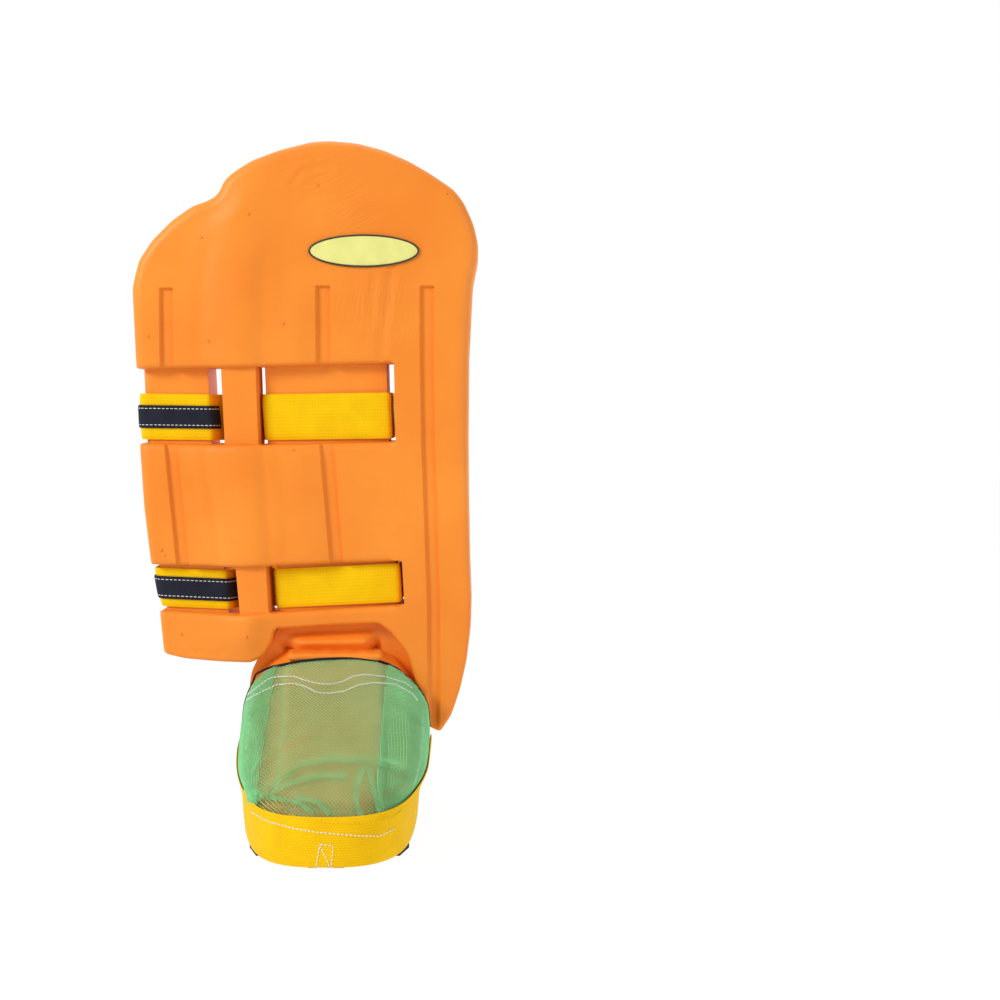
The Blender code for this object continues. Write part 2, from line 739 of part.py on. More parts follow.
def foot_skin(foot, name, near, thickness, finish):
    """A shell over the foot guard from the cover's lower edge up, between two offsets."""
    bottom = COVER_BOTTOM_Z / FOOT_HEIGHT
    levels = [bottom] + [s for s in LEVEL_SHARES if s > bottom + 0.02]
    outer, inner = [], []
    for share in levels:
        for grid, offset in ((inner, near), (outer, near + thickness)):
            edge = foot.outline(share, offset + puffed(share), FOOT_REAR_Y)
            grid.append(np.column_stack([edge, np.full(len(edge), share * FOOT_HEIGHT)]))
    points, faces = closed_shell(np.array(outer), np.array(inner))
    obj = add_object(name, points, faces, finish)
    recalculate(obj)
    return obj


def keep_between(obj, y_low, y_high, z_low):
    """Cuts away what lies outside two crosswise planes and below a level one."""
    low = np.array([FOOT_CENTRE_X - FOOT_WIDTH, y_low, z_low])
    high = np.array([FOOT_CENTRE_X + FOOT_WIDTH, y_high, 2 * FOOT_HEIGHT])
    corners = np.array([(x, y, z) for x in (0, 1) for y in (0, 1) for z in (0, 1)])
    sides = [(0, 1, 3, 2), (4, 6, 7, 5), (0, 4, 5, 1), (2, 3, 7, 6), (0, 2, 6, 4), (1, 5, 7, 3)]
    box = add_object(obj.name + "_box", low + corners * (high - low), sides, "pad_foam")
    recalculate(box)
    box.hide_render = True
    box.display_type = "WIRE"
    cut = obj.modifiers.new("kept part", "BOOLEAN")
    cut.operation = "INTERSECT"
    cut.solver = "EXACT"
    cut.object = box


def build_cover(foot):
    """The net cover, puffed at its sides, and the binding outside its rear edge."""
    cover = foot_skin(foot, "mesh_cover", COVER_OFFSET, COVER_THICKNESS, "net_green")
    keep_between(cover, FOOT_TOE_Y - FOOT_WIDTH, COVER_END_Y, 0.0)
    near = COVER_OFFSET + COVER_THICKNESS + 2 * GAP
    binding = foot_skin(foot, "cover_binding", near, BINDING_THICKNESS, "tape_black")
    end = COVER_END_Y - 2 * MM
    band_top = float(band_middle(COVER_END_Y)) + BAND_WIDTH / 2
    keep_between(binding, end - BINDING_WIDTH, end, band_top + BINDING_WIDTH)


def add_tube(name, rings, finish, closed=False):
    """A bar whose section is each ring of points, closed on itself or capped."""
    count, sides = rings.shape[:2]
    faces = []
    for r in range(count if closed else count - 1):
        for k in range(sides):
            a, b = r * sides + k, r * sides + (k + 1) % sides
            c, d = ((r + 1) % count) * sides + (k + 1) % sides, ((r + 1) % count) * sides + k
            faces.append((a, b, c, d))
    if not closed:
        faces.append(tuple(range(sides))[::-1])
        faces.append(tuple(range((count - 1) * sides, count * sides)))
    obj = add_object(name, rings.reshape(-1, 3), faces, finish)
    recalculate(obj)
    return obj


def band_middle(y):
    """The toe band's middle height, which climbs from the toe to the ankle."""
    back = np.clip((y - FOOT_TOE_Y) / (COVER_END_Y - FOOT_TOE_Y), 0, 1)
    return BAND_WIDTH / 2 + SOLE_LIFT - GAP + 0.9 * BAND_WIDTH * back**1.7


def build_band(foot):
    """The webbing round the toe, outside the cover's lower edge."""
    full = foot.outline(0.2, BAND_OFFSET, FOOT_REAR_Y, rib=False)
    ahead = np.flatnonzero(full[:, 1] < COVER_END_Y)
    first, last = ahead[0] - 1, ahead[-1] + 1
    rings = []
    for k in range(first, last + 1):
        ring = []
        inside = k + (1 if k == first else -1 if k == last else 0)
        inner_side = [(side, 0.0) for side in BAND_LINES]
        outer_side = [(side, BAND_THICKNESS) for side in BAND_LINES[::-1]]
        for side, offset in inner_side + outer_side:
            height = band_middle(min(full[k, 1], COVER_END_Y))
            z = height + side * BAND_WIDTH / 2
            share = max(z / FOOT_HEIGHT, 0.12)
            edge = foot.outline(share, BAND_OFFSET + offset + puffed(share), FOOT_REAR_Y, rib=False)
            place = edge[k]
            if inside != k:
                along = (COVER_END_Y - edge[inside, 1]) / (edge[k, 1] - edge[inside, 1])
                place = edge[inside] + along * (edge[k] - edge[inside])
            ring.append((place[0], place[1], z))
        rings.append(ring)
    add_tube("toe_band", np.array(rings), "strap_yellow")


def belt(pulleys, thickness_steps=5):
    """A closed line round pulleys (x, y, signed radius): negative keeps the pulley on the left."""
    n = len(pulleys)
    headings = []
    for i in range(n):
        (x1, y1, r1), (x2, y2, r2) = pulleys[i], pulleys[(i + 1) % n]
        apart = math.hypot(x2 - x1, y2 - y1)
        headings.append(math.atan2(y2 - y1, x2 - x1) - math.asin((r1 - r2) / apart))
    line = []
    for i in range(n):
        x, y, r = pulleys[i]
        start, end = headings[i - 1], headings[i]
        turn = (end - start + math.pi) % (2 * math.pi) - math.pi
        steps = max(2, int(abs(turn) * (3 + 60 * abs(r)) / 1.2) + 1)
        for k in range(steps + 1):
            a = start + turn * k / steps
            line.append((x - r * math.sin(a), y + r * math.cos(a)))
    return np.array(line)


def strap_route(level, top, foot_row, extra):
    """The pulleys of one strap, for a line that lies extra outside the strap's inner face."""
    near = 2 * GAP + extra
    middle_share = (np.mean(ROWS[top]) + np.mean(ROWS[foot_row])) / 2

    def line_x(name):
        return pad_x(column_share(name, middle_share))

    floor_y = PAD_FRONT_Y + RECESS_DEPTH
    round_low = 6 * MM
    left_x = pad_x(side_share(middle_share, 0)) + STRAP_EDGE_INSET
    back_y = PAD_FRONT_Y + PAD_DEPTH
    return [
        (left_x + round_low, floor_y + round_low, -(round_low + near)),
        (line_x("slot_a_left"), floor_y, -near),
        (line_x("bar_left"), PAD_FRONT_Y + BAR_BACK_DEPTH, STRAP_THICKNESS + 3 * GAP - extra),
        (line_x("bar_right"), PAD_FRONT_Y + BAR_BACK_DEPTH, STRAP_THICKNESS + 3 * GAP - extra),
        (line_x("bridge_left"), floor_y, -near),
        (line_x("slot_b_left"), floor_y, -(near + SLOT_CLEARANCE)),
        (line_x("slot_b_left"), back_y, -(near + SLOT_CLEARANCE)),
        (CALF_CENTRE_X, CALF_CENTRE_Y, -(CALF_WIDTH / 2 + extra)),
        (left_x + round_low, back_y - round_low, -(round_low + near)),
    ]


def strap_height(x, y, level, top, foot_row):
    """The strap's middle height: it follows the recess in front and runs level behind."""
    share = np.clip(x / PAD_WIDTH + 0.5, 0, 1)
    inside = (row_share(top, share) + row_share(foot_row, share)) / 2
    return pad_z(inside)


def upright_places(height):
    """Where the pad's left side and its upright lines stand at a height."""
    return np.array([pad_x(side_share(height, 0)) + 15 * MM] + [pad_x(column_share(name, height)) for name in COLUMNS])


def strap_ring(inner, outer, z, width):
    """The strap's section at one place, its edges leaning as the pad's own upright lines do there."""
    middle = upright_places((z - PAD_BOTTOM_Z) / PAD_HEIGHT)
    ring = []
    for point, end in ((inner, -1), (inner, 1), (outer, 1), (outer, -1)):
        level = z + end * width / 2
        shift = np.interp(inner[0], middle, upright_places((level - PAD_BOTTOM_Z) / PAD_HEIGHT) - middle)
        ring.append((point[0] + shift, point[1], level))
    return ring


def build_straps():
    for name, top, foot_row, width, level in STRAP_LOOPS:
        inner = belt(strap_route(level, top, foot_row, 0.0))
        outer = belt(strap_route(level, top, foot_row, STRAP_THICKNESS))
        rings = []
        for a, b in zip(inner, outer):
            z = strap_height(a[0], a[1], level, top, foot_row)
            rings.append(strap_ring(a, b, z, width))
        add_tube(name, np.array(rings), "strap_yellow", closed=True)
        build_tape(name.replace("strap", "hook_tape"), level, top, foot_row)


def build_tape(name, level, top, foot_row):
    """The hook tape on the strap's front end, from round the pad's side to the slot."""
    base = STRAP_THICKNESS + 2 * GAP
    inner = belt(strap_route(level, top, foot_row, base))
    outer = belt(strap_route(level, top, foot_row, base + TAPE_THICKNESS))
    stop = pad_x(COLUMNS["slot_a_left"][level])
    side_x = pad_x(0.5)
    rings = []
    for a, b in zip(inner, outer):
        if a[0] < stop + 3 * MM and a[1] < PAD_FRONT_Y + RECESS_DEPTH + 8 * MM and side_x > a[0]:
            z = strap_height(a[0], a[1], level, top, foot_row)
            rings.append(strap_ring(a, b, z, TAPE_WIDTH))
    first, second = np.array(rings[0]), np.array(rings[1])
    back = first.copy()
    back[:, 1] += 14 * MM
    rings.insert(0, back)
    add_tube(name, np.array([np.array(r) for r in rings]), "tape_black")


def build_sole_straps(foot):
    """Black webbing under the toe: one strap across the sole and one from it to the tip."""
    low = 0.2 * MM
    ys = np.array([CROSS_STRAP_Y - SOLE_WEB_WIDTH / 2, CROSS_STRAP_Y + SOLE_WEB_WIDTH / 2])
    edge = foot.outline(0.09, 4 * GAP, FOOT_REAR_Y, rib=False)
    half = len(edge) // 2
    left = np.interp(ys, edge[: half + 1, 1][::-1], edge[: half + 1, 0][::-1])
    right = np.interp(ys, edge[half:, 1], edge[half:, 0])
    tab = 5 * MM
    thick = SOLE_WEB_THICKNESS
    top = low + thick
    rings = []
    for kind in ("left_top", "left_low", "right_low", "right_top"):
        side = -1 if kind.startswith("left") else 1
        xs = left if side < 0 else right
        ring = []
        for x, y in zip(xs, ys):
            out = x + side * thick
            if kind.endswith("top"):
                ring.append([(x, y, top + tab), (out, y, top + tab)])
            else:
                ring.append([(x, y, top), (out, y, low)])
        rings.append([ring[0][0], ring[1][0], ring[1][1], ring[0][1]])
    add_tube("sole_cross_strap", np.array(rings), "tape_black")
    tip = foot.level(0.03)[0]
    near, far = tip - BAND_OFFSET, CROSS_STRAP_Y - SOLE_WEB_WIDTH / 2 - GAP
    x0, x1 = TOE_STRAP_X - SOLE_WEB_WIDTH / 2, TOE_STRAP_X + SOLE_WEB_WIDTH / 2
    rings = [
        [(x0, y, low), (x1, y, low), (x1, y, top), (x0, y, top)] for y in np.linspace(near, far, 4)
    ]
    add_tube("sole_toe_strap", np.array(rings), "tape_black")


def build_badge():
    """A plain oval plate, slightly domed, on the knee panel."""
    centre_x = pad_x(0.672)
    centre_z = pad_z(0.815)
    turns = np.linspace(0, 2 * math.pi, 48, endpoint=False)
    rings = []
    for size, depth in ((1.0, 0.0), (1.0, 0.55), (0.95, 0.85), (0.7, 0.97), (0.35, 1.0)):
        x = centre_x + BADGE_WIDTH / 2 * size * np.cos(turns)
        z = centre_z + BADGE_HEIGHT / 2 * size * np.sin(turns)
        y = np.full(len(turns), PAD_FRONT_Y - GAP - depth * BADGE_THICKNESS)
        rings.append(np.stack([x, y, z], axis=1))
    add_tube("badge_plate", np.array(rings), "plate_yellow")


def main():
    clear_scene()
    Pad().build()
    foot = FootGuard()
    build_foot_guard(foot)
    build_cover(foot)
    build_band(foot)
    build_straps()
    build_sole_straps(foot)
    build_badge()


main()
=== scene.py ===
"""The looks of a moulded foam leg guard that stands on its foot guard.

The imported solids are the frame. Every soft piece is built again here as a fine surface in the same
place, and each finish is a procedural material.
"""

import logging
import math
from collections.abc import Callable
from dataclasses import dataclass
from enum import Enum

import bpy
import numpy as np
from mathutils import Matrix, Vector
from mathutils.bvhtree import BVHTree

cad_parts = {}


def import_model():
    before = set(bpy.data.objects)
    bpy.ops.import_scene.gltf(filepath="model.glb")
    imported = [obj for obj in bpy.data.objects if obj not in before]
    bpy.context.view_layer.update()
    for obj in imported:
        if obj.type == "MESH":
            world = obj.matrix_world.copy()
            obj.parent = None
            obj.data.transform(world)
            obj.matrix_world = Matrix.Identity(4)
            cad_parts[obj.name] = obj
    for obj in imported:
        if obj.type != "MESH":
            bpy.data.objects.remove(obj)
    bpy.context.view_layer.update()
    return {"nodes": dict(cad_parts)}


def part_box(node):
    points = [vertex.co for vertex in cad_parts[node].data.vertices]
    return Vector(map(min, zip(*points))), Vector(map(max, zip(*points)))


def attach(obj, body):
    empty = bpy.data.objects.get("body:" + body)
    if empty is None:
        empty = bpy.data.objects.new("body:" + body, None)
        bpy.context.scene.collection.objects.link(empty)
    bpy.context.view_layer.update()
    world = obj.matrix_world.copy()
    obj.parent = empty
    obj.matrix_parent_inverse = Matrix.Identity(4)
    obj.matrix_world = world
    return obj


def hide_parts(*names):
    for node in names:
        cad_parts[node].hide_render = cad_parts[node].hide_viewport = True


log = logging.getLogger("leg_guard")
MM = 0.001
GAP = 0.3 * MM


def smooth_step(value: np.ndarray) -> np.ndarray:
    """Zero below 0, one above 1, and 3t^2 - 2t^3 in between."""
    value = np.clip(value, 0.0, 1.0)
    return value * value * (3 - 2 * value)


def unit(vectors: np.ndarray) -> np.ndarray:
    """The vectors divided by their lengths."""
    return vectors / np.maximum(np.linalg.norm(vectors, axis=-1, keepdims=True), 1e-12)


def grid_quads(rows: int, columns: int, wrap: bool = False) -> np.ndarray:
    """Quads of a grid stored row by row.

    Args:
        rows: how many rows of points.
        columns: how many points in a row.
        wrap: whether the last column joins the first.

    Returns:
        One line of four indices a quad.
    """
    index = np.arange(rows * columns).reshape(rows, columns)
    beside = np.roll(index, -1, axis=1)
    low, high, low_next, high_next = index[:-1], index[1:], beside[:-1], beside[1:]
    if not wrap:
        low, high, low_next, high_next = (part[:, :-1] for part in (low, high, low_next, high_next))
    return np.stack([low, low_next, high_next, high], axis=2).reshape(-1, 4)


def outward(points: np.ndarray, faces: np.ndarray) -> np.ndarray:
    """The faces, all turned round if the volume that they enclose is negative."""
    a, b, c, d = (points[faces[:, k]] for k in range(4))
    volume = (a * np.cross(b, c)).sum() + (a * np.cross(c, d)).sum()
    return faces[:, [1, 0, 3, 2]] if volume < 0 else faces


def gaussian_line(values: np.ndarray, places: np.ndarray, width: float, closed: bool = False) -> np.ndarray:
    """Values along a line, each the mean of its neighbours weighted by exp(-(distance / width)^2).

    Args:
        values: one line of numbers a point.
        places: each point's distance along the line, in metres.
        width: the weight's width in metres.
        closed: whether the line's end meets its start.

    Returns:
        The smoothed values.
    """
    apart = np.abs(places[:, None] - places[None, :])
    if closed:
        total = places[-1] + places[1] - places[0]
        apart = np.minimum(apart, total - apart)
    share = np.gradient(places)[None, :]
    weight = np.exp(-((apart / width) ** 2)) * share
    return weight @ values / weight.sum(axis=1, keepdims=True)


def arc_length(points: np.ndarray) -> np.ndarray:
    """The distance along a line of points, from its first."""
    return np.concatenate([[0.0], np.cumsum(np.linalg.norm(np.diff(points, axis=0), axis=1))])


def resampled(points: np.ndarray, spacing: float) -> np.ndarray:
    """A line of points again at even spacing."""
    run = arc_length(points)
    even = np.linspace(0, run[-1], max(2, int(run[-1] / spacing) + 1))
    return np.stack([np.interp(even, run, points[:, k]) for k in range(points.shape[1])], axis=1)


def line_distance(points: np.ndarray, line: np.ndarray) -> np.ndarray:
    """Each point's distance to a line of straight segments, the least over the segments."""
    nearest = np.full(len(points), 9.0)
    for start, end in zip(line[:-1], line[1:]):
        span = end - start
        share = np.clip((points - start) @ span / max(span @ span, 1e-12), 0, 1)
        nearest = np.minimum(nearest, np.linalg.norm(points - start - share[:, None] * span, axis=1))
    return nearest


class Slot(Enum):
    """Material slot names."""

    FOAM = "pad_foam"
    YELLOW = "strap_yellow"
    BLACK = "tape_black"
    NET = "net_green"
    PLATE = "plate_yellow"


class Finish:
    """A procedural material under way: nodes are added by kind and joined by name."""

    def __init__(self, name: str) -> None:
        """Starts a material with only its shader."""
        self.material = bpy.data.materials.new(name)
        self.material.use_nodes = True
        self.tree = self.material.node_tree
        self.shader = self.tree.nodes["Principled BSDF"]

    def node(self, kind: str, **values: object) -> bpy.types.Node:
        """A new node with its settings and plain inputs.

        Args:
            kind: the node's class without ShaderNode.
            values: a property, or an input named with underscores for spaces.

        Returns:
            The node.
        """
        made = self.tree.nodes.new("ShaderNode" + kind)
        for key, value in values.items():
            if key.startswith("in_"):
                made.inputs[key[3:].replace("_", " ")].default_value = value
            else:
                setattr(made, key, value)
        return made

    def join(self, start: bpy.types.NodeSocket, end: bpy.types.NodeSocket) -> None:
        """Links one socket to another."""
        self.tree.links.new(start, end)

    def math(self, operation: str, first: object, second: object = 0.0) -> bpy.types.NodeSocket:
        """The result of a math node on two sockets or numbers."""
        made = self.node("Math", operation=operation)
        for place, value in enumerate((first, second)):
            if isinstance(value, bpy.types.NodeSocket):
                self.join(value, made.inputs[place])
            else:
                made.inputs[place].default_value = value
        return made.outputs[0]

    def place(self, uv: bool = False) -> bpy.types.NodeSocket:
        """Object coordinates, or the piece's own UV in metres."""
        return self.node("TexCoord").outputs["UV" if uv else "Object"]

    def noise(self, place: bpy.types.NodeSocket, scale: float, detail: float = 3.0) -> bpy.types.NodeSocket:
        """A noise's value at a place, at so many lumps a metre."""
        made = self.node("TexNoise", in_Scale=scale, in_Detail=detail)
        self.join(place, made.inputs["Vector"])
        return made.outputs[0]

    def ramp(self, value: bpy.types.NodeSocket, stops: tuple) -> bpy.types.NodeSocket:
        """A colour from stops of (place, colour)."""
        made = self.node("ValToRGB")
        elements = made.color_ramp.elements
        while len(elements) < len(stops):
            elements.new(0.5)
        for element, (at, colour) in zip(elements, stops):
            element.position = at
            element.color = (*colour, 1.0)
        self.join(value, made.inputs[0])
        return made.outputs[0]

    def wave(self, place: bpy.types.NodeSocket, axis: str, pitch: float) -> bpy.types.NodeSocket:
        """Half of 1 + sin(2 pi x / pitch) along one axis of a place."""
        split = self.node("SeparateXYZ")
        self.join(place, split.inputs[0])
        turned = self.math("SINE", self.math("MULTIPLY", split.outputs[axis], 2 * math.pi / pitch))
        return self.math("MULTIPLY_ADD", turned, 0.5)

    def bump(self, heights: list[tuple[bpy.types.NodeSocket, float]], round_edge: float = 0.0) -> None:
        """Adds the heights up as bumps.

        Args:
            heights: each a socket from 0 to 1, and its height in metres.
            round_edge: the radius that softens hard edges, in metres.
        """
        last = None
        if round_edge:
            last = self.node("Bevel", samples=4, in_Radius=round_edge).outputs[0]
        for socket, height in heights:
            made = self.node("Bump", in_Strength=1.0, in_Distance=height)
            self.join(socket, made.inputs["Height"])
            if last is not None:
                self.join(last, made.inputs["Normal"])
            last = made.outputs[0]
        self.join(last, self.shader.inputs["Normal"])

    def shine(self, roughness: float, specular: float = 0.5, sheen: float = 0.0) -> None:
        """Sets the plain gloss values on the shader's own sockets."""
        self.shader.inputs["Roughness"].default_value = roughness
        self.shader.inputs["Specular IOR Level"].default_value = specular
        self.shader.inputs["Sheen Weight"].default_value = sheen
        self.shader.inputs["Sheen Roughness"].default_value = 0.5


@dataclass(frozen=True)
class SkinFoam:
    """Moulded closed-cell foam with a smooth skin: satin, faintly mottled, with pits and pimples; the pits'
    spots are painted a darker orange as shade.
    """

    name: str
    light: tuple = (0.94, 0.290, 0.026)
    deep: tuple = (0.87, 0.232, 0.016)
    roughness: float = 0.44

    def build(self) -> bpy.types.Material:
        """Mottled orange, gloss that varies, and four sizes of bump; the pits are painted a darker orange as
        shade.
        """
        finish = Finish(self.name)
        place = finish.place()
        cloud = finish.noise(place, 9.0, 4.0)
        colour = finish.ramp(cloud, ((0.30, self.deep), (0.70, self.light)))
        # The pits: sparse spots that dip in the bump and whose colour is mixed towards a darker orange,
        # painted shade in the pits.
        specks = finish.node("TexVoronoi", in_Scale=46.0, in_Randomness=1.0)
        finish.join(place, specks.inputs["Vector"])
        dot = finish.node("MapRange", in_From_Min=0.025, in_From_Max=0.055, in_To_Min=1.0, in_To_Max=0.0)
        finish.join(specks.outputs["Distance"], dot.inputs["Value"])
        picked = finish.math("GREATER_THAN", finish.noise(place, 31.0, 1.0), 0.60)
        pit_and_painted_shade = finish.math("MULTIPLY", dot.outputs[0], picked)
        pit_shade_mix = finish.node("Mix", data_type="RGBA")
        finish.join(finish.math("MULTIPLY", pit_and_painted_shade, 0.55), pit_shade_mix.inputs[0])
        finish.join(colour, pit_shade_mix.inputs[6])
        # Painted shade: the darker orange that the pits' spots are mixed towards.
        pit_shade_mix.inputs[7].default_value = (0.52, 0.11, 0.012, 1.0)
        finish.join(pit_shade_mix.outputs[2], finish.shader.inputs["Base Color"])
        finish.shine(self.roughness, 0.34, 0.0)
        gloss = finish.node("MapRange", in_To_Min=self.roughness - 0.08, in_To_Max=self.roughness + 0.12)
        finish.join(finish.noise(place, 26.0, 3.0), gloss.inputs["Value"])
        finish.join(gloss.outputs[0], finish.shader.inputs["Roughness"])
        finish.bump(
            [
                (self.wrinkles(finish, place), 0.9 * MM),
                (finish.noise(place, 13.0, 2.0), 1.6 * MM),
                (finish.noise(place, 55.0, 3.0), 0.30 * MM),
                (finish.noise(place, 620.0, 2.0), 0.035 * MM),
                (pit_and_painted_shade, -0.5 * MM),
            ],
            round_edge=1.3 * MM,
        )
        return finish.material

    def wrinkles(self, finish: Finish, place: bpy.types.NodeSocket) -> bpy.types.NodeSocket:
        """Fields of fine lines: stretched noise that fades out over a radius from each field's middle."""
        total = None
        for x, z, radius, turn in WRINKLE_FIELDS:
            away = finish.node("VectorMath", operation="DISTANCE")
            finish.join(place, away.inputs[0])
            away.inputs[1].default_value = (x * MM, 15 * MM, z * MM)
            fade = finish.node(
                "MapRange", in_From_Min=0.0, in_From_Max=radius * MM, in_To_Min=1.0, in_To_Max=0.0
            )
            finish.join(away.outputs["Value"], fade.inputs["Value"])
            turned = finish.node("Mapping")
            turned.inputs["Rotation"].default_value = (0, math.radians(turn), 0)
            finish.join(place, turned.inputs["Vector"])
            stretched = finish.node("Mapping")
            stretched.inputs["Scale"].default_value = (60, 60, 420)
            finish.join(turned.outputs[0], stretched.inputs["Vector"])
            field = finish.math("MULTIPLY", finish.noise(stretched.outputs[0], 1.0, 2.0), fade.outputs[0])
            total = field if total is None else finish.math("ADD", total, field)
        return total


# Fields of fine wrinkles: x, z and radius in millimetres, and the lines' turn from level in degrees
WRINKLE_FIELDS = ((43, 533, 42, 28), (66, 446, 55, 80), (10, 575, 40, 20))


class Weave(Enum):
    """How a narrow fabric is woven."""

    ELASTIC = "elastic"
    WEBBING = "webbing"
    HOOK = "hook"
    THREAD = "thread"


@dataclass(frozen=True)
class NarrowCloth:
    """Woven elastic, webbing, hook tape or plain thread, along the piece's own UV in metres."""

    name: str
    weave: Weave
    # light is the yarns' own colour; deep is a darker copy, painted as shade between the yarns and mixed with
    # random tone.
    light: tuple
    deep: tuple
    pitch: float = 1.1 * MM
    depth: float = 0.12 * MM
    roughness: float = 0.8
    sheen: float = 0.04
    by_uv: bool = True

    def build(self) -> bpy.types.Material:
        """Yarns as products of waves along and across, with fuzz and slight colour changes; the gaps between
        yarns are painted darker as shade.
        """
        finish = Finish(self.name)
        uv = finish.place(uv=self.by_uv)
        place = finish.place()
        along = finish.wave(uv, "X", self.pitch)
        across = finish.wave(uv, "Y", self.pitch * (2.2 if self.weave is Weave.ELASTIC else 1.35))
        fuzz = finish.noise(place, 1900.0, 3.0)
        if self.weave is Weave.HOOK:
            dots = finish.node("TexVoronoi", in_Scale=1150.0, in_Randomness=0.85)
            finish.join(place, dots.inputs["Vector"])
            yarn = finish.math("SUBTRACT", 1.0, dots.outputs["Distance"])
        elif self.weave is Weave.WEBBING:
            slant = finish.node("Mapping")
            slant.inputs["Rotation"].default_value = (0, 0, math.radians(32))
            finish.join(uv, slant.inputs["Vector"])
            yarn = finish.math("MULTIPLY", finish.wave(slant.outputs[0], "X", self.pitch * 1.3), across)
        elif self.weave is Weave.ELASTIC:
            lengthwise = finish.math("MULTIPLY", along, 0.85)
            crosswise = finish.math("MULTIPLY", across, 0.6)
            yarn = finish.math("MAXIMUM", lengthwise, crosswise)
        else:
            yarn = along
        # Painted shade between the yarns: where the yarn wave is low the colour ramps to the darker copy; the
        # noise adds random tone.
        yarn_gap_shade_and_tone = finish.math("MULTIPLY", finish.math("ADD", yarn, finish.noise(place, 60.0, 3.0)), 0.5)
        colour = finish.ramp(yarn_gap_shade_and_tone, ((0.18, self.deep), (0.72, self.light)))
        finish.join(colour, finish.shader.inputs["Base Color"])
        finish.shine(self.roughness, 0.12, self.sheen)
        finish.bump([(yarn, self.depth), (fuzz, self.depth * 0.5)])
        return finish.material


@dataclass(frozen=True)
class PlainPlate:
    """Soft plastic with a faint cast grain."""

    name: str
    light: tuple
    roughness: float = 0.35

    def build(self) -> bpy.types.Material:
        """A clear colour, faintly clouded, with a fine grain."""
        finish = Finish(self.name)
        place = finish.place()
        deep = tuple(0.88 * part for part in self.light)
        cloud = finish.noise(place, 70.0, 3.0)
        finish.join(finish.ramp(cloud, ((0.3, deep), (0.7, self.light))), finish.shader.inputs["Base Color"])
        finish.shine(self.roughness)
        finish.bump([(finish.noise(place, 900.0, 2.0), 0.03 * MM)])
        return finish.material


FOAM = SkinFoam("moulded skin foam")
# Each cloth's second colour is a darker copy, painted as shade between the yarns and mixed with random tone.
ELASTIC = NarrowCloth(
    "woven elastic", Weave.ELASTIC, (0.96, 0.60, 0.0), (0.80, 0.43, 0.0), 1.3 * MM, 0.16 * MM
)
WEBBING = NarrowCloth(
    "yellow webbing", Weave.WEBBING, (0.97, 0.61, 0.0), (0.80, 0.44, 0.0), 1.5 * MM, 0.18 * MM
)
HOOK = NarrowCloth("hook tape", Weave.HOOK, (0.022, 0.024, 0.040), (0.007, 0.008, 0.014), 1.0 * MM, 0.30 * MM)
EDGING = NarrowCloth(
    "black edging", Weave.WEBBING, (0.020, 0.021, 0.026), (0.008, 0.008, 0.011), 0.9 * MM, 0.14 * MM
)
SOLE_WEB = NarrowCloth(
    "black sole webbing",
    Weave.WEBBING,
    (0.020, 0.021, 0.026),
    (0.008, 0.008, 0.011),
    1.2 * MM,
    0.2 * MM,
    by_uv=False,
)
NET_YARN = NarrowCloth("net yarn", Weave.THREAD, (0.36, 0.80, 0.40), (0.16, 0.50, 0.20), 0.7 * MM, 0.06 * MM)
WHITE_YARN = NarrowCloth(
    "white yarn", Weave.THREAD, (0.90, 0.90, 0.88), (0.74, 0.74, 0.72), 0.5 * MM, 0.05 * MM
)
YELLOW_YARN = NarrowCloth(
    "yellow yarn", Weave.THREAD, (0.98, 0.70, 0.02), (0.80, 0.50, 0.0), 0.5 * MM, 0.05 * MM
)
PLATE = PlainPlate("pale plate", (0.86, 0.83, 0.26))
PLATE_RIM = PlainPlate("dark rim", (0.03, 0.03, 0.03), 0.45)


class Workshop:
    """Makes pieces: meshes with their material, UV and body."""

    def __init__(self) -> None:
        """Starts with no materials made."""
        self.made: dict[str, bpy.types.Material] = {}

    def material(self, finish: object) -> bpy.types.Material:
        """The finish's material, made once."""
        if finish.name not in self.made:
            self.made[finish.name] = finish.build()
        return self.made[finish.name]

    def piece(
        self,
        name: str,
        points: np.ndarray,
        faces: np.ndarray,
        finish: object,
        uv: np.ndarray | None = None,
        replaces: tuple[str, ...] = (),
        sharp: float = 60.0,
    ) -> bpy.types.Object:
        """A mesh of quads or triangles as one piece of the object.

        Args:
            name: the piece's plain name.
            points: its points in metres.
            faces: indices, one line a face; a quad with two equal corners becomes a triangle.
            finish: its finish.
            uv: one pair a point, in metres, where the finish follows the surface.
            replaces: the CAD nodes that it stands for.
            sharp: edges steeper than this in degrees stay hard.

        Returns:
            The object.
        """
        mesh = bpy.data.meshes.new(name)
        corners = [face[:3] if face[2] == face[3] else face for face in outward(points, faces).tolist()]
        mesh.from_pydata(points.tolist(), [], corners)
        mesh.validate()
        mesh.update()
        mesh.shade_smooth()
        mesh.set_sharp_from_angle(angle=math.radians(sharp))
        if uv is not None:
            corner = np.empty(len(mesh.loops), dtype=np.int64)
            mesh.loops.foreach_get("vertex_index", corner)
            layer = mesh.uv_layers.new(name="UVMap")
            layer.data.foreach_set("uv", uv[corner].astype(np.float32).ravel())
        mesh.materials.append(self.material(finish))
        obj = bpy.data.objects.new(name, mesh)
        bpy.context.scene.collection.objects.link(obj)
        if replaces:
            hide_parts(*replaces)
        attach(obj, "root")
        log.info("%s: %d faces", name, len(faces))
        return obj


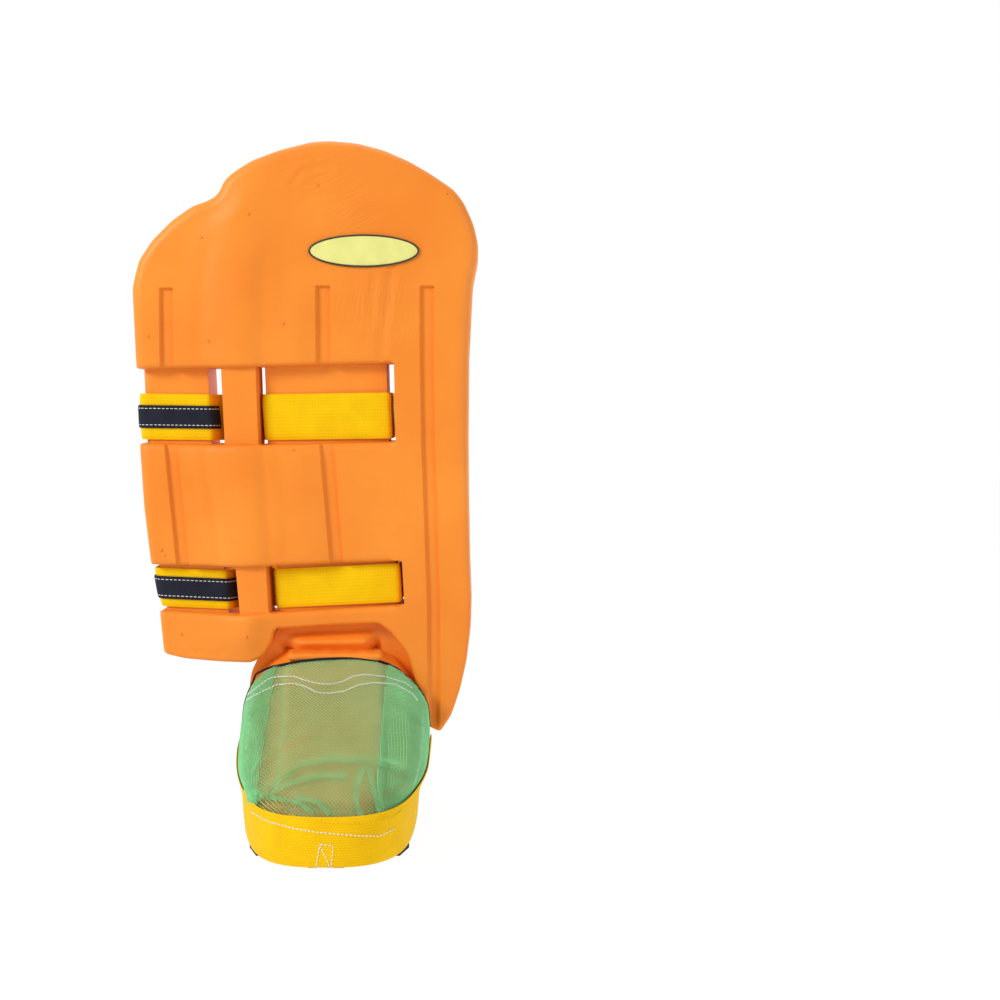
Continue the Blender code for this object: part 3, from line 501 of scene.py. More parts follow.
def tube(rings: np.ndarray, closed: bool) -> tuple[np.ndarray, np.ndarray]:
    """Points and faces of a bar through rings of points, each end closed by a fan to its middle.

    Args:
        rings: one ring of points a place, as (places, sides, 3).
        closed: whether the last ring joins the first.

    Returns:
        The points and the faces.
    """
    count, sides = rings.shape[:2]
    points = rings.reshape(-1, 3)
    if closed:
        return points, grid_quads(count + 1, sides, wrap=True) % (count * sides)
    faces = grid_quads(count, sides, wrap=True)
    middles = np.stack([rings[0].mean(axis=0), rings[-1].mean(axis=0)])
    first = np.arange(sides)
    beside = np.roll(first, -1)
    ends = []
    for middle, start, turn in ((0, 0, False), (1, (count - 1) * sides, True)):
        hub = np.full(sides, count * sides + middle)
        pair = (first, beside) if turn else (beside, first)
        ends.append(np.stack([pair[0] + start, pair[1] + start, hub, hub], axis=1))
    return np.concatenate([points, middles]), np.concatenate([faces, *ends])


def search_tree(points: np.ndarray, faces: np.ndarray) -> BVHTree:
    """A mesh's search tree for rays."""
    return BVHTree.FromPolygons(points.tolist(), faces.tolist())


def bell(away: np.ndarray, width: float) -> np.ndarray:
    """exp(-(away / width)^2)."""
    return np.exp(-((away / width) ** 2))


@dataclass(frozen=True)
class View:
    """The photograph's camera: its place, tilt and lens, and where its pixels meet a surface."""

    x: float = 169 * MM
    y: float = -1585 * MM
    z: float = 368 * MM
    tilt: float = 3.1
    lens: float = 66.4

    def build(self) -> None:
        """Adds the camera, level but for its tilt, with no depth of field."""
        data = bpy.data.cameras.new("photo_camera")
        data.lens = self.lens
        data.sensor_width = 36.0
        data.clip_start = 0.02
        data.dof.use_dof = False
        camera = bpy.data.objects.new("photo_camera", data)
        camera.location = (self.x, self.y, self.z)
        camera.rotation_euler = (math.radians(90 - self.tilt), 0, 0)
        bpy.context.scene.collection.objects.link(camera)
        bpy.context.scene.camera = camera

    def rays(self, pixels: object) -> np.ndarray:
        """The directions of lines of sight through pixels of the 1000 by 1000 picture."""
        right, down = ((np.asarray(pixels, float) - 500) / (self.lens / 36 * 1000)).T
        tilt = math.radians(self.tilt)
        back = math.cos(tilt) - down * math.sin(tilt)
        return unit(np.stack([right, back, -math.sin(tilt) - down * math.cos(tilt)], axis=1))

    def on_plane(self, pixels: object, y: object) -> np.ndarray:
        """The points where lines of sight through pixels cross the plane at y, or each its own y."""
        ray = self.rays(pixels)
        return np.array([self.x, self.y, self.z]) + ray * ((y - self.y) / ray[:, 1])[:, None]

    def cast(self, tree: BVHTree, pixels: object) -> tuple[np.ndarray, np.ndarray]:
        """Where lines of sight through pixels meet a surface, at steps of about two pixels.

        Args:
            tree: the surface's search tree.
            pixels: the points of a line.

        Returns:
            The places and their outward directions.
        """
        places, normals = [], []
        for ray in self.rays(resampled(np.array(pixels, float), 2.0)):
            hit, normal, _, _ = tree.ray_cast(Vector((self.x, self.y, self.z)), Vector(ray))
            if hit is not None:
                places.append(hit)
                normals.append(normal if normal.dot(Vector(ray)) < 0 else -normal)
        return np.array(places), np.array(normals)


VIEW = View()


@dataclass
class PadShape:
    """The moulded pad: a grid of named lines made fine, with its depth in front and behind.

    Lengths are in metres. Rows run from the crown down and columns from left to right, as the wearer's
    guard is seen from the front.
    """

    width: float = 300 * MM
    height: float = 514 * MM
    depth: float = 60 * MM
    front_y: float = 15 * MM
    edge_round: float = 9 * MM
    edge_round_low: float = 3.5 * MM
    ridge: float = 5 * MM
    recess: float = 12 * MM
    recess_inset: float = 4.5 * MM
    wall_slope: float = 1.2 * MM
    groove: float = 3 * MM
    bar_front: float = 2 * MM
    bar_back: float = 26 * MM
    bar_draft: float = 2.5 * MM
    channel_depth: float = 26 * MM
    channel_width: float = 172 * MM
    calf_x: float = 17 * MM
    flap_depth: float = 36 * MM
    crown_depth: float = 12 * MM
    flap_taper: float = 2.3
    foot_x: float = 23 * MM
    foot_width: float = 150 * MM
    foot_height: float = 149 * MM
    lip_share: float = 0.1395
    upper_level: float = 0.555
    lower_level: float = 0.250
    spacing: float = 2.5 * MM

    columns = {
        "groove_a_left": (0.086, 0.134),
        "groove_a_right": (0.118, 0.164),
        "slot_a_left": (0.214, 0.262),
        "bar_left": (0.249, 0.292),
        "bar_right": (0.366, 0.395),
        "bridge_left": (0.380, 0.414),
        "groove_b_left": (0.536, 0.578),
        "groove_b_right": (0.572, 0.611),
        "slot_b_left": (0.734, 0.762),
        "slot_b_right": (0.757, 0.782),
        "groove_c_left": (0.836, 0.853),
        "groove_c_right": (0.871, 0.884),
    }
    row_lines = {
        "groove_top": (0.752, 0.757, 0.757),
        "upper_panel_foot": (0.619, 0.622, 0.633),
        "middle_panel_top": (0.491, 0.487, 0.496),
        "middle_panel_foot": (0.288, 0.283, 0.299),
        "lower_panel_top": (0.209, 0.199, 0.223),
    }
    sides = np.array(
        [
            (0.099, 0.085, 0.968),
            (0.200, 0.076, 0.980),
            (0.330, 0.036, 0.972),
            (0.480, 0.018, 0.970),
            (0.620, 0.009, 0.971),
            (0.757, 0.000, 0.983),
            (0.800, 0.020, 0.998),
            (0.840, 0.066, 1.000),
            (0.870, 0.122, 0.980),
            (0.885, 0.161, 0.968),
            (0.894, 0.183, 0.961),
            (0.897, 0.205, 0.958),
            (0.901, 0.227, 0.953),
            (0.907, 0.242, 0.946),
            (0.915, 0.254, 0.934),
            (0.920, 0.258, 0.926),
            (0.931, 0.266, 0.926),
            (0.938, 0.275, 0.926),
        ]
    )
    crown = np.array(
        [
            (0.275, 0.938),
            (0.294, 0.947),
            (0.316, 0.956),
            (0.351, 0.968),
            (0.430, 0.985),
            (0.520, 0.998),
            (0.570, 1.000),
            (0.650, 0.996),
            (0.730, 0.984),
            (0.800, 0.966),
            (0.860, 0.946),
            (0.926, 0.920),
        ]
    )
    crown_blends = (0.0, 0.02, 0.045, 0.07, 0.10, 0.13, 0.17, 0.21, 0.25, 0.30, 0.38, 0.56, 0.74, 0.9)
    foot_line = (
        ("edge", "pad", 0.085, 0.135),
        ("groove_a_left", "pad", 0.140, 0.127),
        ("groove_a_right", "pad", 0.170, 0.125),
        ("slot_a_left", "pad", 0.250, 0.121),
        ("bar_left", "arch", -0.960, 0.119),
        ("bar_right", "arch", -0.800, 0.130),
        ("bridge_left", "arch", -0.700, 0.155),
        ("arch_left", "arch", -0.670, 0.176),
        ("groove_b_left", "arch", -0.090, 0.182),
        ("groove_b_right", "arch", 0.050, 0.183),
        ("slot_b_left", "arch", 0.540, 0.186),
        ("slot_b_right", "arch", 0.690, 0.168),
        ("arch_right", "arch", 0.870, 0.133),
        ("arch_side", "arch", 0.970, 0.083),
        ("groove_c_left", "arch", 1.090, 0.012),
        ("groove_c_right", "pad", 0.888, 0.000),
        ("edge", "pad", 0.919, 0.027),
    )
    recess_rows = (("upper_panel_foot", "middle_panel_top"), ("middle_panel_foot", "lower_panel_top"))

    def __post_init__(self) -> None:
        """Lays the coarse grid, makes it fine and works the depths out."""
        self.bottom = self.foot_height + GAP - self.lip_share * self.height
        self.lay_lines()
        self.lay_rows()
        self.make_fine()
        self.shape()

    def x_of(self, share: object) -> object:
        """A share of the width as x."""
        return (share - 0.5) * self.width

    def z_of(self, share: object) -> object:
        """A share of the height as z."""
        return self.bottom + share * self.height

    def column_share(self, name: str, height: float) -> float:
        """A column's share of the width: straight above the upper strap, leaning below it."""
        upper, lower = self.columns[name]
        fall = max(0.0, self.upper_level - height) / (self.upper_level - self.lower_level)
        return upper + (lower - upper) * fall

    def row_share(self, name: str, across: object) -> object:
        """A row line's share of the height at a share of the width, straight between three points."""
        return np.interp(across, (0.0, 0.30, 1.0), self.row_lines[name])

    def side_share(self, height: object, side: int) -> object:
        """The outline's share of the width at a share of the height, at the left (0) or right (1)."""
        return np.interp(height, self.sides[:, 0], self.sides[:, 1 + side])

    def lay_lines(self) -> None:
        """The upright grid lines: each a name and a step to one side."""
        lines = [("edge_left", 0.0), ("edge_left", 0.25), ("edge_left", 1.0)]
        for name in self.columns:
            if name.startswith("groove"):
                step = -1.0 if name.endswith("left") else 1.0
                lines += sorted([(name, 0.0), (name, step)], key=lambda pair: pair[1])
            else:
                lines.append((name, 0.0))
        self.lines = lines + [("edge_right", -1.0), ("edge_right", -0.25), ("edge_right", 0.0)]
        extra = {
            ("groove_a_right", "slot_a_left"): 1,
            ("edge_left", "groove_a_left"): 1,
            ("bar_left", "bar_right"): 2,
            ("groove_b_right", "slot_b_left"): 2,
            ("bridge_left", "groove_b_left"): 3,
            ("slot_b_right", "groove_c_left"): 2,
            ("groove_c_right", "edge_right"): 1,
        }
        names = [name for name, _ in self.lines]
        self.extra = [extra.get(pair, 0) for pair in zip(names[:-1], names[1:])]
        self.at: dict[str, list[int]] = {}
        place = 0
        for name, more in zip(names, self.extra + [0]):
            self.at.setdefault(name, []).append(place)
            place += 1 + more

    def line_x(self, line: tuple[str, float], height: float) -> float:
        """Where an upright line crosses a height."""
        name, step = line
        if name.startswith("edge"):
            return self.x_of(self.side_share(height, int(name == "edge_right"))) + step * self.edge_round
        return self.x_of(self.column_share(name, height)) + step * self.wall_slope

    def with_between(self, values: np.ndarray) -> np.ndarray:
        """The values with each interval's extra lines put in at even steps."""
        parts = [
            np.linspace(a, b, more + 1, endpoint=False)
            for a, b, more in zip(values[:-1], values[1:], self.extra)
        ]
        return np.concatenate([*parts, values[-1:]])

    def row(self, name: str, lift: float = 0.0, step: float = 0.0) -> np.ndarray:
        """One row of points along a row line, moved up by a share of the height and by metres."""
        middle = float(self.row_share(name, 0.5)) + lift
        xs = np.array([self.line_x(line, middle) for line in self.lines])
        zs = self.z_of(self.row_share(name, xs / self.width + 0.5) + lift) + step
        for place, across in ((0, 0.0), (1, 0.0), (2, 0.0), (-3, 1.0), (-2, 1.0), (-1, 1.0)):
            xs[place] = self.line_x(self.lines[place], float(self.row_share(name, across)) + lift)
        return np.stack([self.with_between(xs), self.with_between(zs)], axis=1)

    def add(self, name: str, points: np.ndarray) -> None:
        """Adds a named row."""
        self.row_at[name] = len(self.rows)
        self.rows.append(points)

    def lay_rows(self) -> None:
        """The rows: the crown blends into the first groove row, and the last panel into the foot line."""
        self.rows: list[np.ndarray] = []
        self.row_at: dict[str, int] = {}
        groove = self.row("groove_top")
        span = (groove[:, 0] - groove[0, 0]) / (groove[-1, 0] - groove[0, 0])
        share = self.crown[0, 0] + span * (self.crown[-1, 0] - self.crown[0, 0])
        crown = np.stack([self.x_of(share), self.z_of(np.interp(share, *self.crown.T))], axis=1)
        for k, blend in enumerate(self.crown_blends):
            mixed = crown * (1 - blend) + groove * blend
            if k:
                height = (mixed[:, 1] - self.bottom) / self.height
                left = self.x_of(self.side_share(height[0], 0))
                right = self.x_of(self.side_share(height[-1], 1))
                old = mixed[:, 0].copy()
                mixed[:, 0] = left + (old - old[0]) / (old[-1] - old[0]) * (right - left)
                near = np.exp(-(((crown[:, 0] - crown[0, 0]) / (28 * MM)) ** 2))
                mixed[:, 1] -= 0.85 * min(1.0, blend / 0.13) * (crown[:, 1] - crown[0, 1]) * near
            self.add(f"crown{k}", mixed)
        self.add("groove_top", groove)
        self.add("groove_start", groove - np.array([0.0, self.wall_slope]))
        self.add("upper_panel", self.row("upper_panel_foot", 0.07))
        for top, foot in self.recess_rows:
            self.add(top, self.row(top))
            self.add(top + "_floor", self.row(top, step=-self.wall_slope))
            self.add(top + "_middle", (self.row(top) + self.row(foot)) / 2)
            self.add(foot + "_floor", self.row(foot, step=self.wall_slope))
            self.add(foot, self.row(foot))
            if foot == "middle_panel_top":
                self.add("middle_panel", self.row("middle_panel_foot", 0.10))
        last = self.rows[-1]
        kinds = {"pad": self.x_of, "arch": lambda part: self.foot_x + part * self.foot_width / 2}
        points = np.array([(kinds[kind](x), self.z_of(z)) for _, kind, x, z in self.foot_line])
        keys = self.foot_keys()
        every = np.arange(len(last))
        foot = np.stack([np.interp(every, keys, points[:, 0]), np.interp(every, keys, points[:, 1])], axis=1)
        flap = self.at["groove_c_left"][0]
        for k, blend in enumerate((0.25, 0.5, 0.75, 0.93, 0.985, 1.0)):
            mixed = last * (1 - blend) + foot * blend
            late = blend**self.flap_taper
            mixed[flap:, 0] = last[flap:, 0] * (1 - late) + foot[flap:, 0] * late
            self.add(f"foot{k}", mixed)

    def foot_keys(self) -> list[float]:
        """The grid column of each point of the foot line."""
        right, flap = self.at["slot_b_right"][0], self.at["groove_c_left"][0]
        special = {
            "arch_left": self.at["bridge_left"][0] + 1,
            "arch_right": right + (flap - right) / 3,
            "arch_side": right + (flap - right) * 2 / 3,
        }
        keys = [0.0]
        for name, *_ in self.foot_line[1:-1]:
            end = -1 if name.endswith("right") else 0
            keys.append(special[name] if name in special else self.at[name][end])
        return keys + [len(self.rows[-1]) - 1.0]

    def make_fine(self) -> None:
        """Puts lines between the coarse ones at the spacing and rounds the outline's corners."""
        coarse = np.array(self.rows)
        self.coarse = coarse
        across = np.linalg.norm(np.diff(coarse, axis=1), axis=2).max(axis=0)
        down = np.linalg.norm(np.diff(coarse, axis=0), axis=2).max(axis=1)
        self.u = self.fine_steps(across)
        self.v = self.fine_steps(down)
        grid = np.stack([self.spread(coarse[..., 0]), self.spread(coarse[..., 1])], axis=2)
        line, index = self.outline(grid)
        run = arc_length(np.concatenate([line, line[:1]]))[:-1]
        moved = gaussian_line(line, run, 3.5 * MM, closed=True) - line
        near, away = self.nearest(grid.reshape(-1, 2), line)
        shift = moved[near] * np.exp(-((away / (9 * MM)) ** 2))[:, None]
        self.grid = grid + shift.reshape(grid.shape)
        line = line + moved
        self.edge_away = self.exact_distance(self.grid.reshape(-1, 2), line).reshape(grid.shape[:2])
        self.edge_away.reshape(-1)[index] = 0.0

    def fine_steps(self, sizes: np.ndarray) -> np.ndarray:
        """The coarse places 0, 1, 2 and on with even steps between them, by each interval's size."""
        counts = np.maximum(2, np.ceil(sizes / self.spacing).astype(int))
        parts = [k + np.arange(count) / count for k, count in enumerate(counts)]
        return np.concatenate([*parts, [float(len(sizes))]])

    def spread(self, values: np.ndarray, eased: bool = False) -> np.ndarray:
        """A coarse grid of values made fine, straight or eased between its lines."""

        def along(table: np.ndarray, places: np.ndarray) -> np.ndarray:
            """Blends the table's neighbouring rows at fractional places."""
            low = np.minimum(places.astype(int), len(table) - 2)
            part = places - low
            part = (smooth_step(part) if eased else part)[:, None]
            return table[low] * (1 - part) + table[low + 1] * part

        return along(along(values, self.v).T, self.u).T

    def outline(self, grid: np.ndarray) -> tuple[np.ndarray, np.ndarray]:
        """The closed outline's points, and their places in the flat grid."""
        rows, columns = grid.shape[:2]
        index = np.arange(rows * columns).reshape(rows, columns)
        ring = np.concatenate([index[0], index[1:, -1], index[-1, ::-1][1:], index[1:-1, 0][::-1]])
        return grid.reshape(-1, 2)[ring], ring

    def nearest(self, points: np.ndarray, line: np.ndarray) -> tuple[np.ndarray, np.ndarray]:
        """The nearest point of a line to each point, and how far it is."""
        near = np.empty(len(points), int)
        away = np.empty(len(points))
        for start in range(0, len(points), 4000):
            block = points[start : start + 4000]
            square = ((block[:, None] - line[None]) ** 2).sum(axis=2)
            near[start : start + 4000] = square.argmin(axis=1)
            away[start : start + 4000] = np.sqrt(square.min(axis=1))
        return near, away

    def exact_distance(self, points: np.ndarray, line: np.ndarray) -> np.ndarray:
        """The distance to a closed line: to the two segments that meet at its nearest point."""
        near, away = self.nearest(points, line)
        for step in (-1, 1):
            start, end = line[near], line[(near + step) % len(line)]
            span = end - start
            size = np.maximum((span**2).sum(axis=1), 1e-12)
            share = np.clip(((points - start) * span).sum(axis=1) / size, 0, 1)
            away = np.minimum(away, np.linalg.norm(points - start - share[:, None] * span, axis=1))
        return away

    def in_rows(self, pair: tuple[str, str]) -> slice:
        """The coarse rows of a recess's floor."""
        return slice(self.row_at[pair[0] + "_floor"], self.row_at[pair[1] + "_floor"] + 1)

    def feature_depth(self) -> tuple[np.ndarray, np.ndarray]:
        """The coarse depths of grooves, recesses and bars, and where the panels are (1) or not (0)."""
        deep = np.zeros(self.coarse.shape[:2])
        panel = np.ones_like(deep)
        start, low = self.row_at["groove_start"], self.row_at["foot3"]
        first_foot = self.row_at["upper_panel_foot"]
        middle = slice(self.row_at["middle_panel_top"], self.row_at["middle_panel_foot"] + 1)
        for letter in "abc":
            left, right = self.at[f"groove_{letter}_left"][1], self.at[f"groove_{letter}_right"][0]
            if letter == "c":
                deep[start : low + 1, left : right + 1] = self.groove
            else:
                deep[start : first_foot + 1, left : right + 1] = self.groove
                deep[middle, left : right + 1] = self.groove
        stop = self.at["slot_b_left"][0]
        bar = slice(self.at["bar_left"][0], self.at["bar_right"][0] + 1)
        for pair in self.recess_rows:
            deep[self.in_rows(pair), : stop + 1] = self.recess
            panel[self.in_rows(pair), : stop + 1] = 0.0
            deep[self.in_rows(pair), bar] = self.bar_front
        return deep, panel

    def shape(self) -> None:
        """Front and back depths: rim, ridge and swell on the panels, and the leg's channel behind.

        The rim's depth is r - sqrt(r^2 - (r - d)^2) at distance d from the outline. The ridge is two
        bell curves across the pad, the leg's channel half a cosine wave.
        """
        x, z = self.grid[..., 0], self.grid[..., 1]
        height = (z - self.bottom) / self.height
        across = x / self.width + 0.5
        higher_up = smooth_step((height - 0.2) / 0.4)
        round_by = self.edge_round_low + (self.edge_round - self.edge_round_low) * higher_up
        inside = np.clip(1 - self.edge_away / round_by, 0, 1)
        rim = round_by * (1 - np.sqrt(1 - inside**2 * 0.99))
        deep, panel = (self.spread(part, eased=True) for part in self.feature_depth())
        line = (self.columns["bar_left"][0] + self.columns["bar_right"][0]) / 2
        away = (across - line - np.maximum(0, self.upper_level - height) * 0.12) / 0.085
        swell = 0.5 * np.exp(-((away - 1.9) ** 2) / 0.5) * smooth_step((0.78 - height) / 0.08)
        fade = smooth_step(self.edge_away / (3 * self.edge_round)) * smooth_step((1 - height) / 0.15)
        front = rim * panel + deep - self.ridge * (np.exp(-(away**2)) + swell) * fade * panel
        front += (1 - panel) * np.minimum(rim, self.edge_round) * (deep > self.recess * 0.6)
        front += self.soft_edges(height, across, panel) + self.creases(x, z) * panel
        depth = self.depth - self.crown_depth * smooth_step((height - 0.72) / 0.28)
        depth = depth - (self.depth - self.flap_depth) * smooth_step((0.22 - height) / 0.16)
        reach = np.clip((x - self.calf_x) / (self.channel_width / 2), -1, 1)
        channel = self.channel_depth * (0.5 + 0.5 * np.cos(np.pi * reach)) * smooth_step((1 - height) / 0.12)
        channel *= 1 - smooth_step((0.10 - height) / 0.06)
        back = depth - np.minimum(channel, depth - 20 * MM) - rim
        self.finish_sides(front, back)

    def soft_edges(self, height: np.ndarray, across: np.ndarray, panel: np.ndarray) -> np.ndarray:
        """Rounds the panels' edges over the recesses: 2.2 mm exp(-(d / 2.6 mm)) from each row line."""
        drop = np.zeros_like(height)
        for top, foot in self.recess_rows:
            for name, way in ((top, 1), (foot, -1)):
                away = (height - self.row_share(name, across)) * self.height * way
                sunk = 2.2 * MM * np.exp(-np.maximum(away, 0) / (2.6 * MM))
                drop += np.where(away >= -self.wall_slope, sunk, 0.0)
        stop = self.columns["slot_b_right"][0]
        return drop * panel * smooth_step((stop + 0.01 - across) / 0.03)

    def creases(self, x: np.ndarray, z: np.ndarray) -> np.ndarray:
        """Soft wrinkles of the skin: each line sinks the front by a bell curve, with a swell beside it."""
        flat = np.stack([x.ravel(), z.ravel()], axis=1)
        sink = np.zeros(len(flat))
        reach = 130 * MM
        for deep, wide, line in CREASES:
            points = VIEW.on_plane(line, self.front_y)[:, [0, 2]]
            near = np.flatnonzero(np.abs(flat - points.mean(axis=0)).max(axis=1) < reach)
            away = line_distance(flat[near], points)
            sink[near] += deep * MM * bell(away, wide * MM)
            sink[near] -= 0.45 * deep * MM * bell(away - 2.1 * wide * MM, 1.1 * wide * MM)
        return sink.reshape(x.shape)

    def finish_sides(self, front: np.ndarray, back: np.ndarray) -> None:
        """Sets the bars' draft, the recesses' narrower sides and the slots, as fine grids."""
        coarse_shift = np.zeros(self.coarse.shape[:2])
        edge_shift = np.zeros(self.coarse.shape[:2])
        bar_rows = np.zeros(self.coarse.shape[:2])
        holes = np.zeros((len(self.coarse) - 1, self.coarse.shape[1] - 1), bool)
        bar = slice(self.at["bar_left"][0], self.at["bar_right"][0] + 1)
        for pair in self.recess_rows:
            span = self.in_rows(pair)
            coarse_shift[span, bar.start] += self.bar_draft
            coarse_shift[span, bar.stop - 1] -= self.bar_draft
            edge_shift[span, :3] += np.array([1.0, 0.9, 0.5]) * self.recess_inset
            bar_rows[span, bar] = 1.0
            for first, last in (
                ("slot_a_left", "bar_left"),
                ("bar_right", "bridge_left"),
                ("slot_b_left", "slot_b_right"),
            ):
                holes[span.start : span.stop - 1, self.at[first][0] : self.at[last][0]] = True
        inset = self.spread(edge_shift, eased=True)
        self.front_x = self.grid[..., 0] + self.spread(coarse_shift) + inset
        self.back_x = self.grid[..., 0] + inset
        self.front = front
        share = self.spread(bar_rows)
        self.back = np.where(share > 0.999, self.bar_back, back)
        cell_v = np.minimum(self.v[:-1].astype(int), holes.shape[0] - 1)
        cell_u = np.minimum(self.u[:-1].astype(int), holes.shape[1] - 1)
        self.holes = holes[cell_v][:, cell_u]

    def mesh(self) -> tuple[np.ndarray, np.ndarray]:
        """The closed pad's points and faces: front, back, and a wall round each free edge."""
        rows, columns = self.front.shape
        z = self.grid[..., 1]
        front = np.stack([self.front_x, self.front + self.front_y, z], axis=2).reshape(-1, 3)
        back = np.stack([self.back_x, self.back + self.front_y, z], axis=2).reshape(-1, 3)
        faces = grid_quads(rows, columns)[~self.holes.ravel()][:, ::-1]
        count = rows * columns
        edges = np.stack([faces, np.roll(faces, -1, axis=1)], axis=2).reshape(-1, 2)
        forward = edges[:, 0].astype(np.int64) * count + edges[:, 1]
        backward = edges[:, 1].astype(np.int64) * count + edges[:, 0]
        free = edges[~np.isin(forward, backward)]
        walls = self.wall(free, front, back, 2 * count)
        points = np.concatenate([front, back, walls[0]])
        return points, np.concatenate([faces, faces[:, ::-1] + count, walls[1]])

    def wall(
        self, free: np.ndarray, front: np.ndarray, back: np.ndarray, start: int
    ) -> tuple[np.ndarray, np.ndarray]:
        """A wall between front and back in six bands, its middle bands bulging as foam does."""
        count = len(front)
        used, place = np.unique(free, return_inverse=True)
        pairs = place.reshape(-1, 2)
        bands = 6
        inner = [front[used] + (back[used] - front[used]) * k / bands for k in range(1, bands)]
        between = [start + k * len(used) + np.arange(len(used)) for k in range(bands - 1)]
        levels = [used, *between, used + count]
        faces = [
            np.stack([high[pairs[:, 1]], high[pairs[:, 0]], low[pairs[:, 0]], low[pairs[:, 1]]], axis=1)
            for high, low in zip(levels[:-1], levels[1:])
        ]
        return np.concatenate(inner), np.concatenate(faces)


# Wrinkles of the pad's skin: depth and width in millimetres, and points on the front
CREASES = (
    (0.35, 2.5, ((292, 183), (303, 171), (318, 166), (332, 168))),
    (0.25, 3.0, ((306, 196), (326, 193), (350, 199), (378, 212))),
    (0.25, 3.0, ((330, 214), (352, 218), (374, 226))),
    (0.7, 3.5, ((392, 268), (388, 300), (383, 330), (381, 356))),
    (0.5, 3.0, ((374, 276), (371, 300), (374, 322))),
    (0.3, 5.0, ((208, 250), (202, 285), (200, 325), (201, 360))),
    (0.3, 5.0, ((264, 262), (262, 300), (262, 360))),
    (0.5, 4.0, ((262, 448), (266, 500), (270, 560))),
    (0.5, 4.0, ((205, 450), (212, 500), (220, 560))),
    (0.4, 2.2, ((228, 348), (236, 357), (247, 361))),
    (0.4, 2.5, ((350, 470), (362, 480), (380, 483))),
    (0.4, 2.5, ((355, 520), (370, 528), (392, 526))),
    (0.5, 2.5, ((290, 452), (303, 449), (318, 450))),
    (0.5, 2.5, ((168, 640), (190, 652), (220, 655))),
)


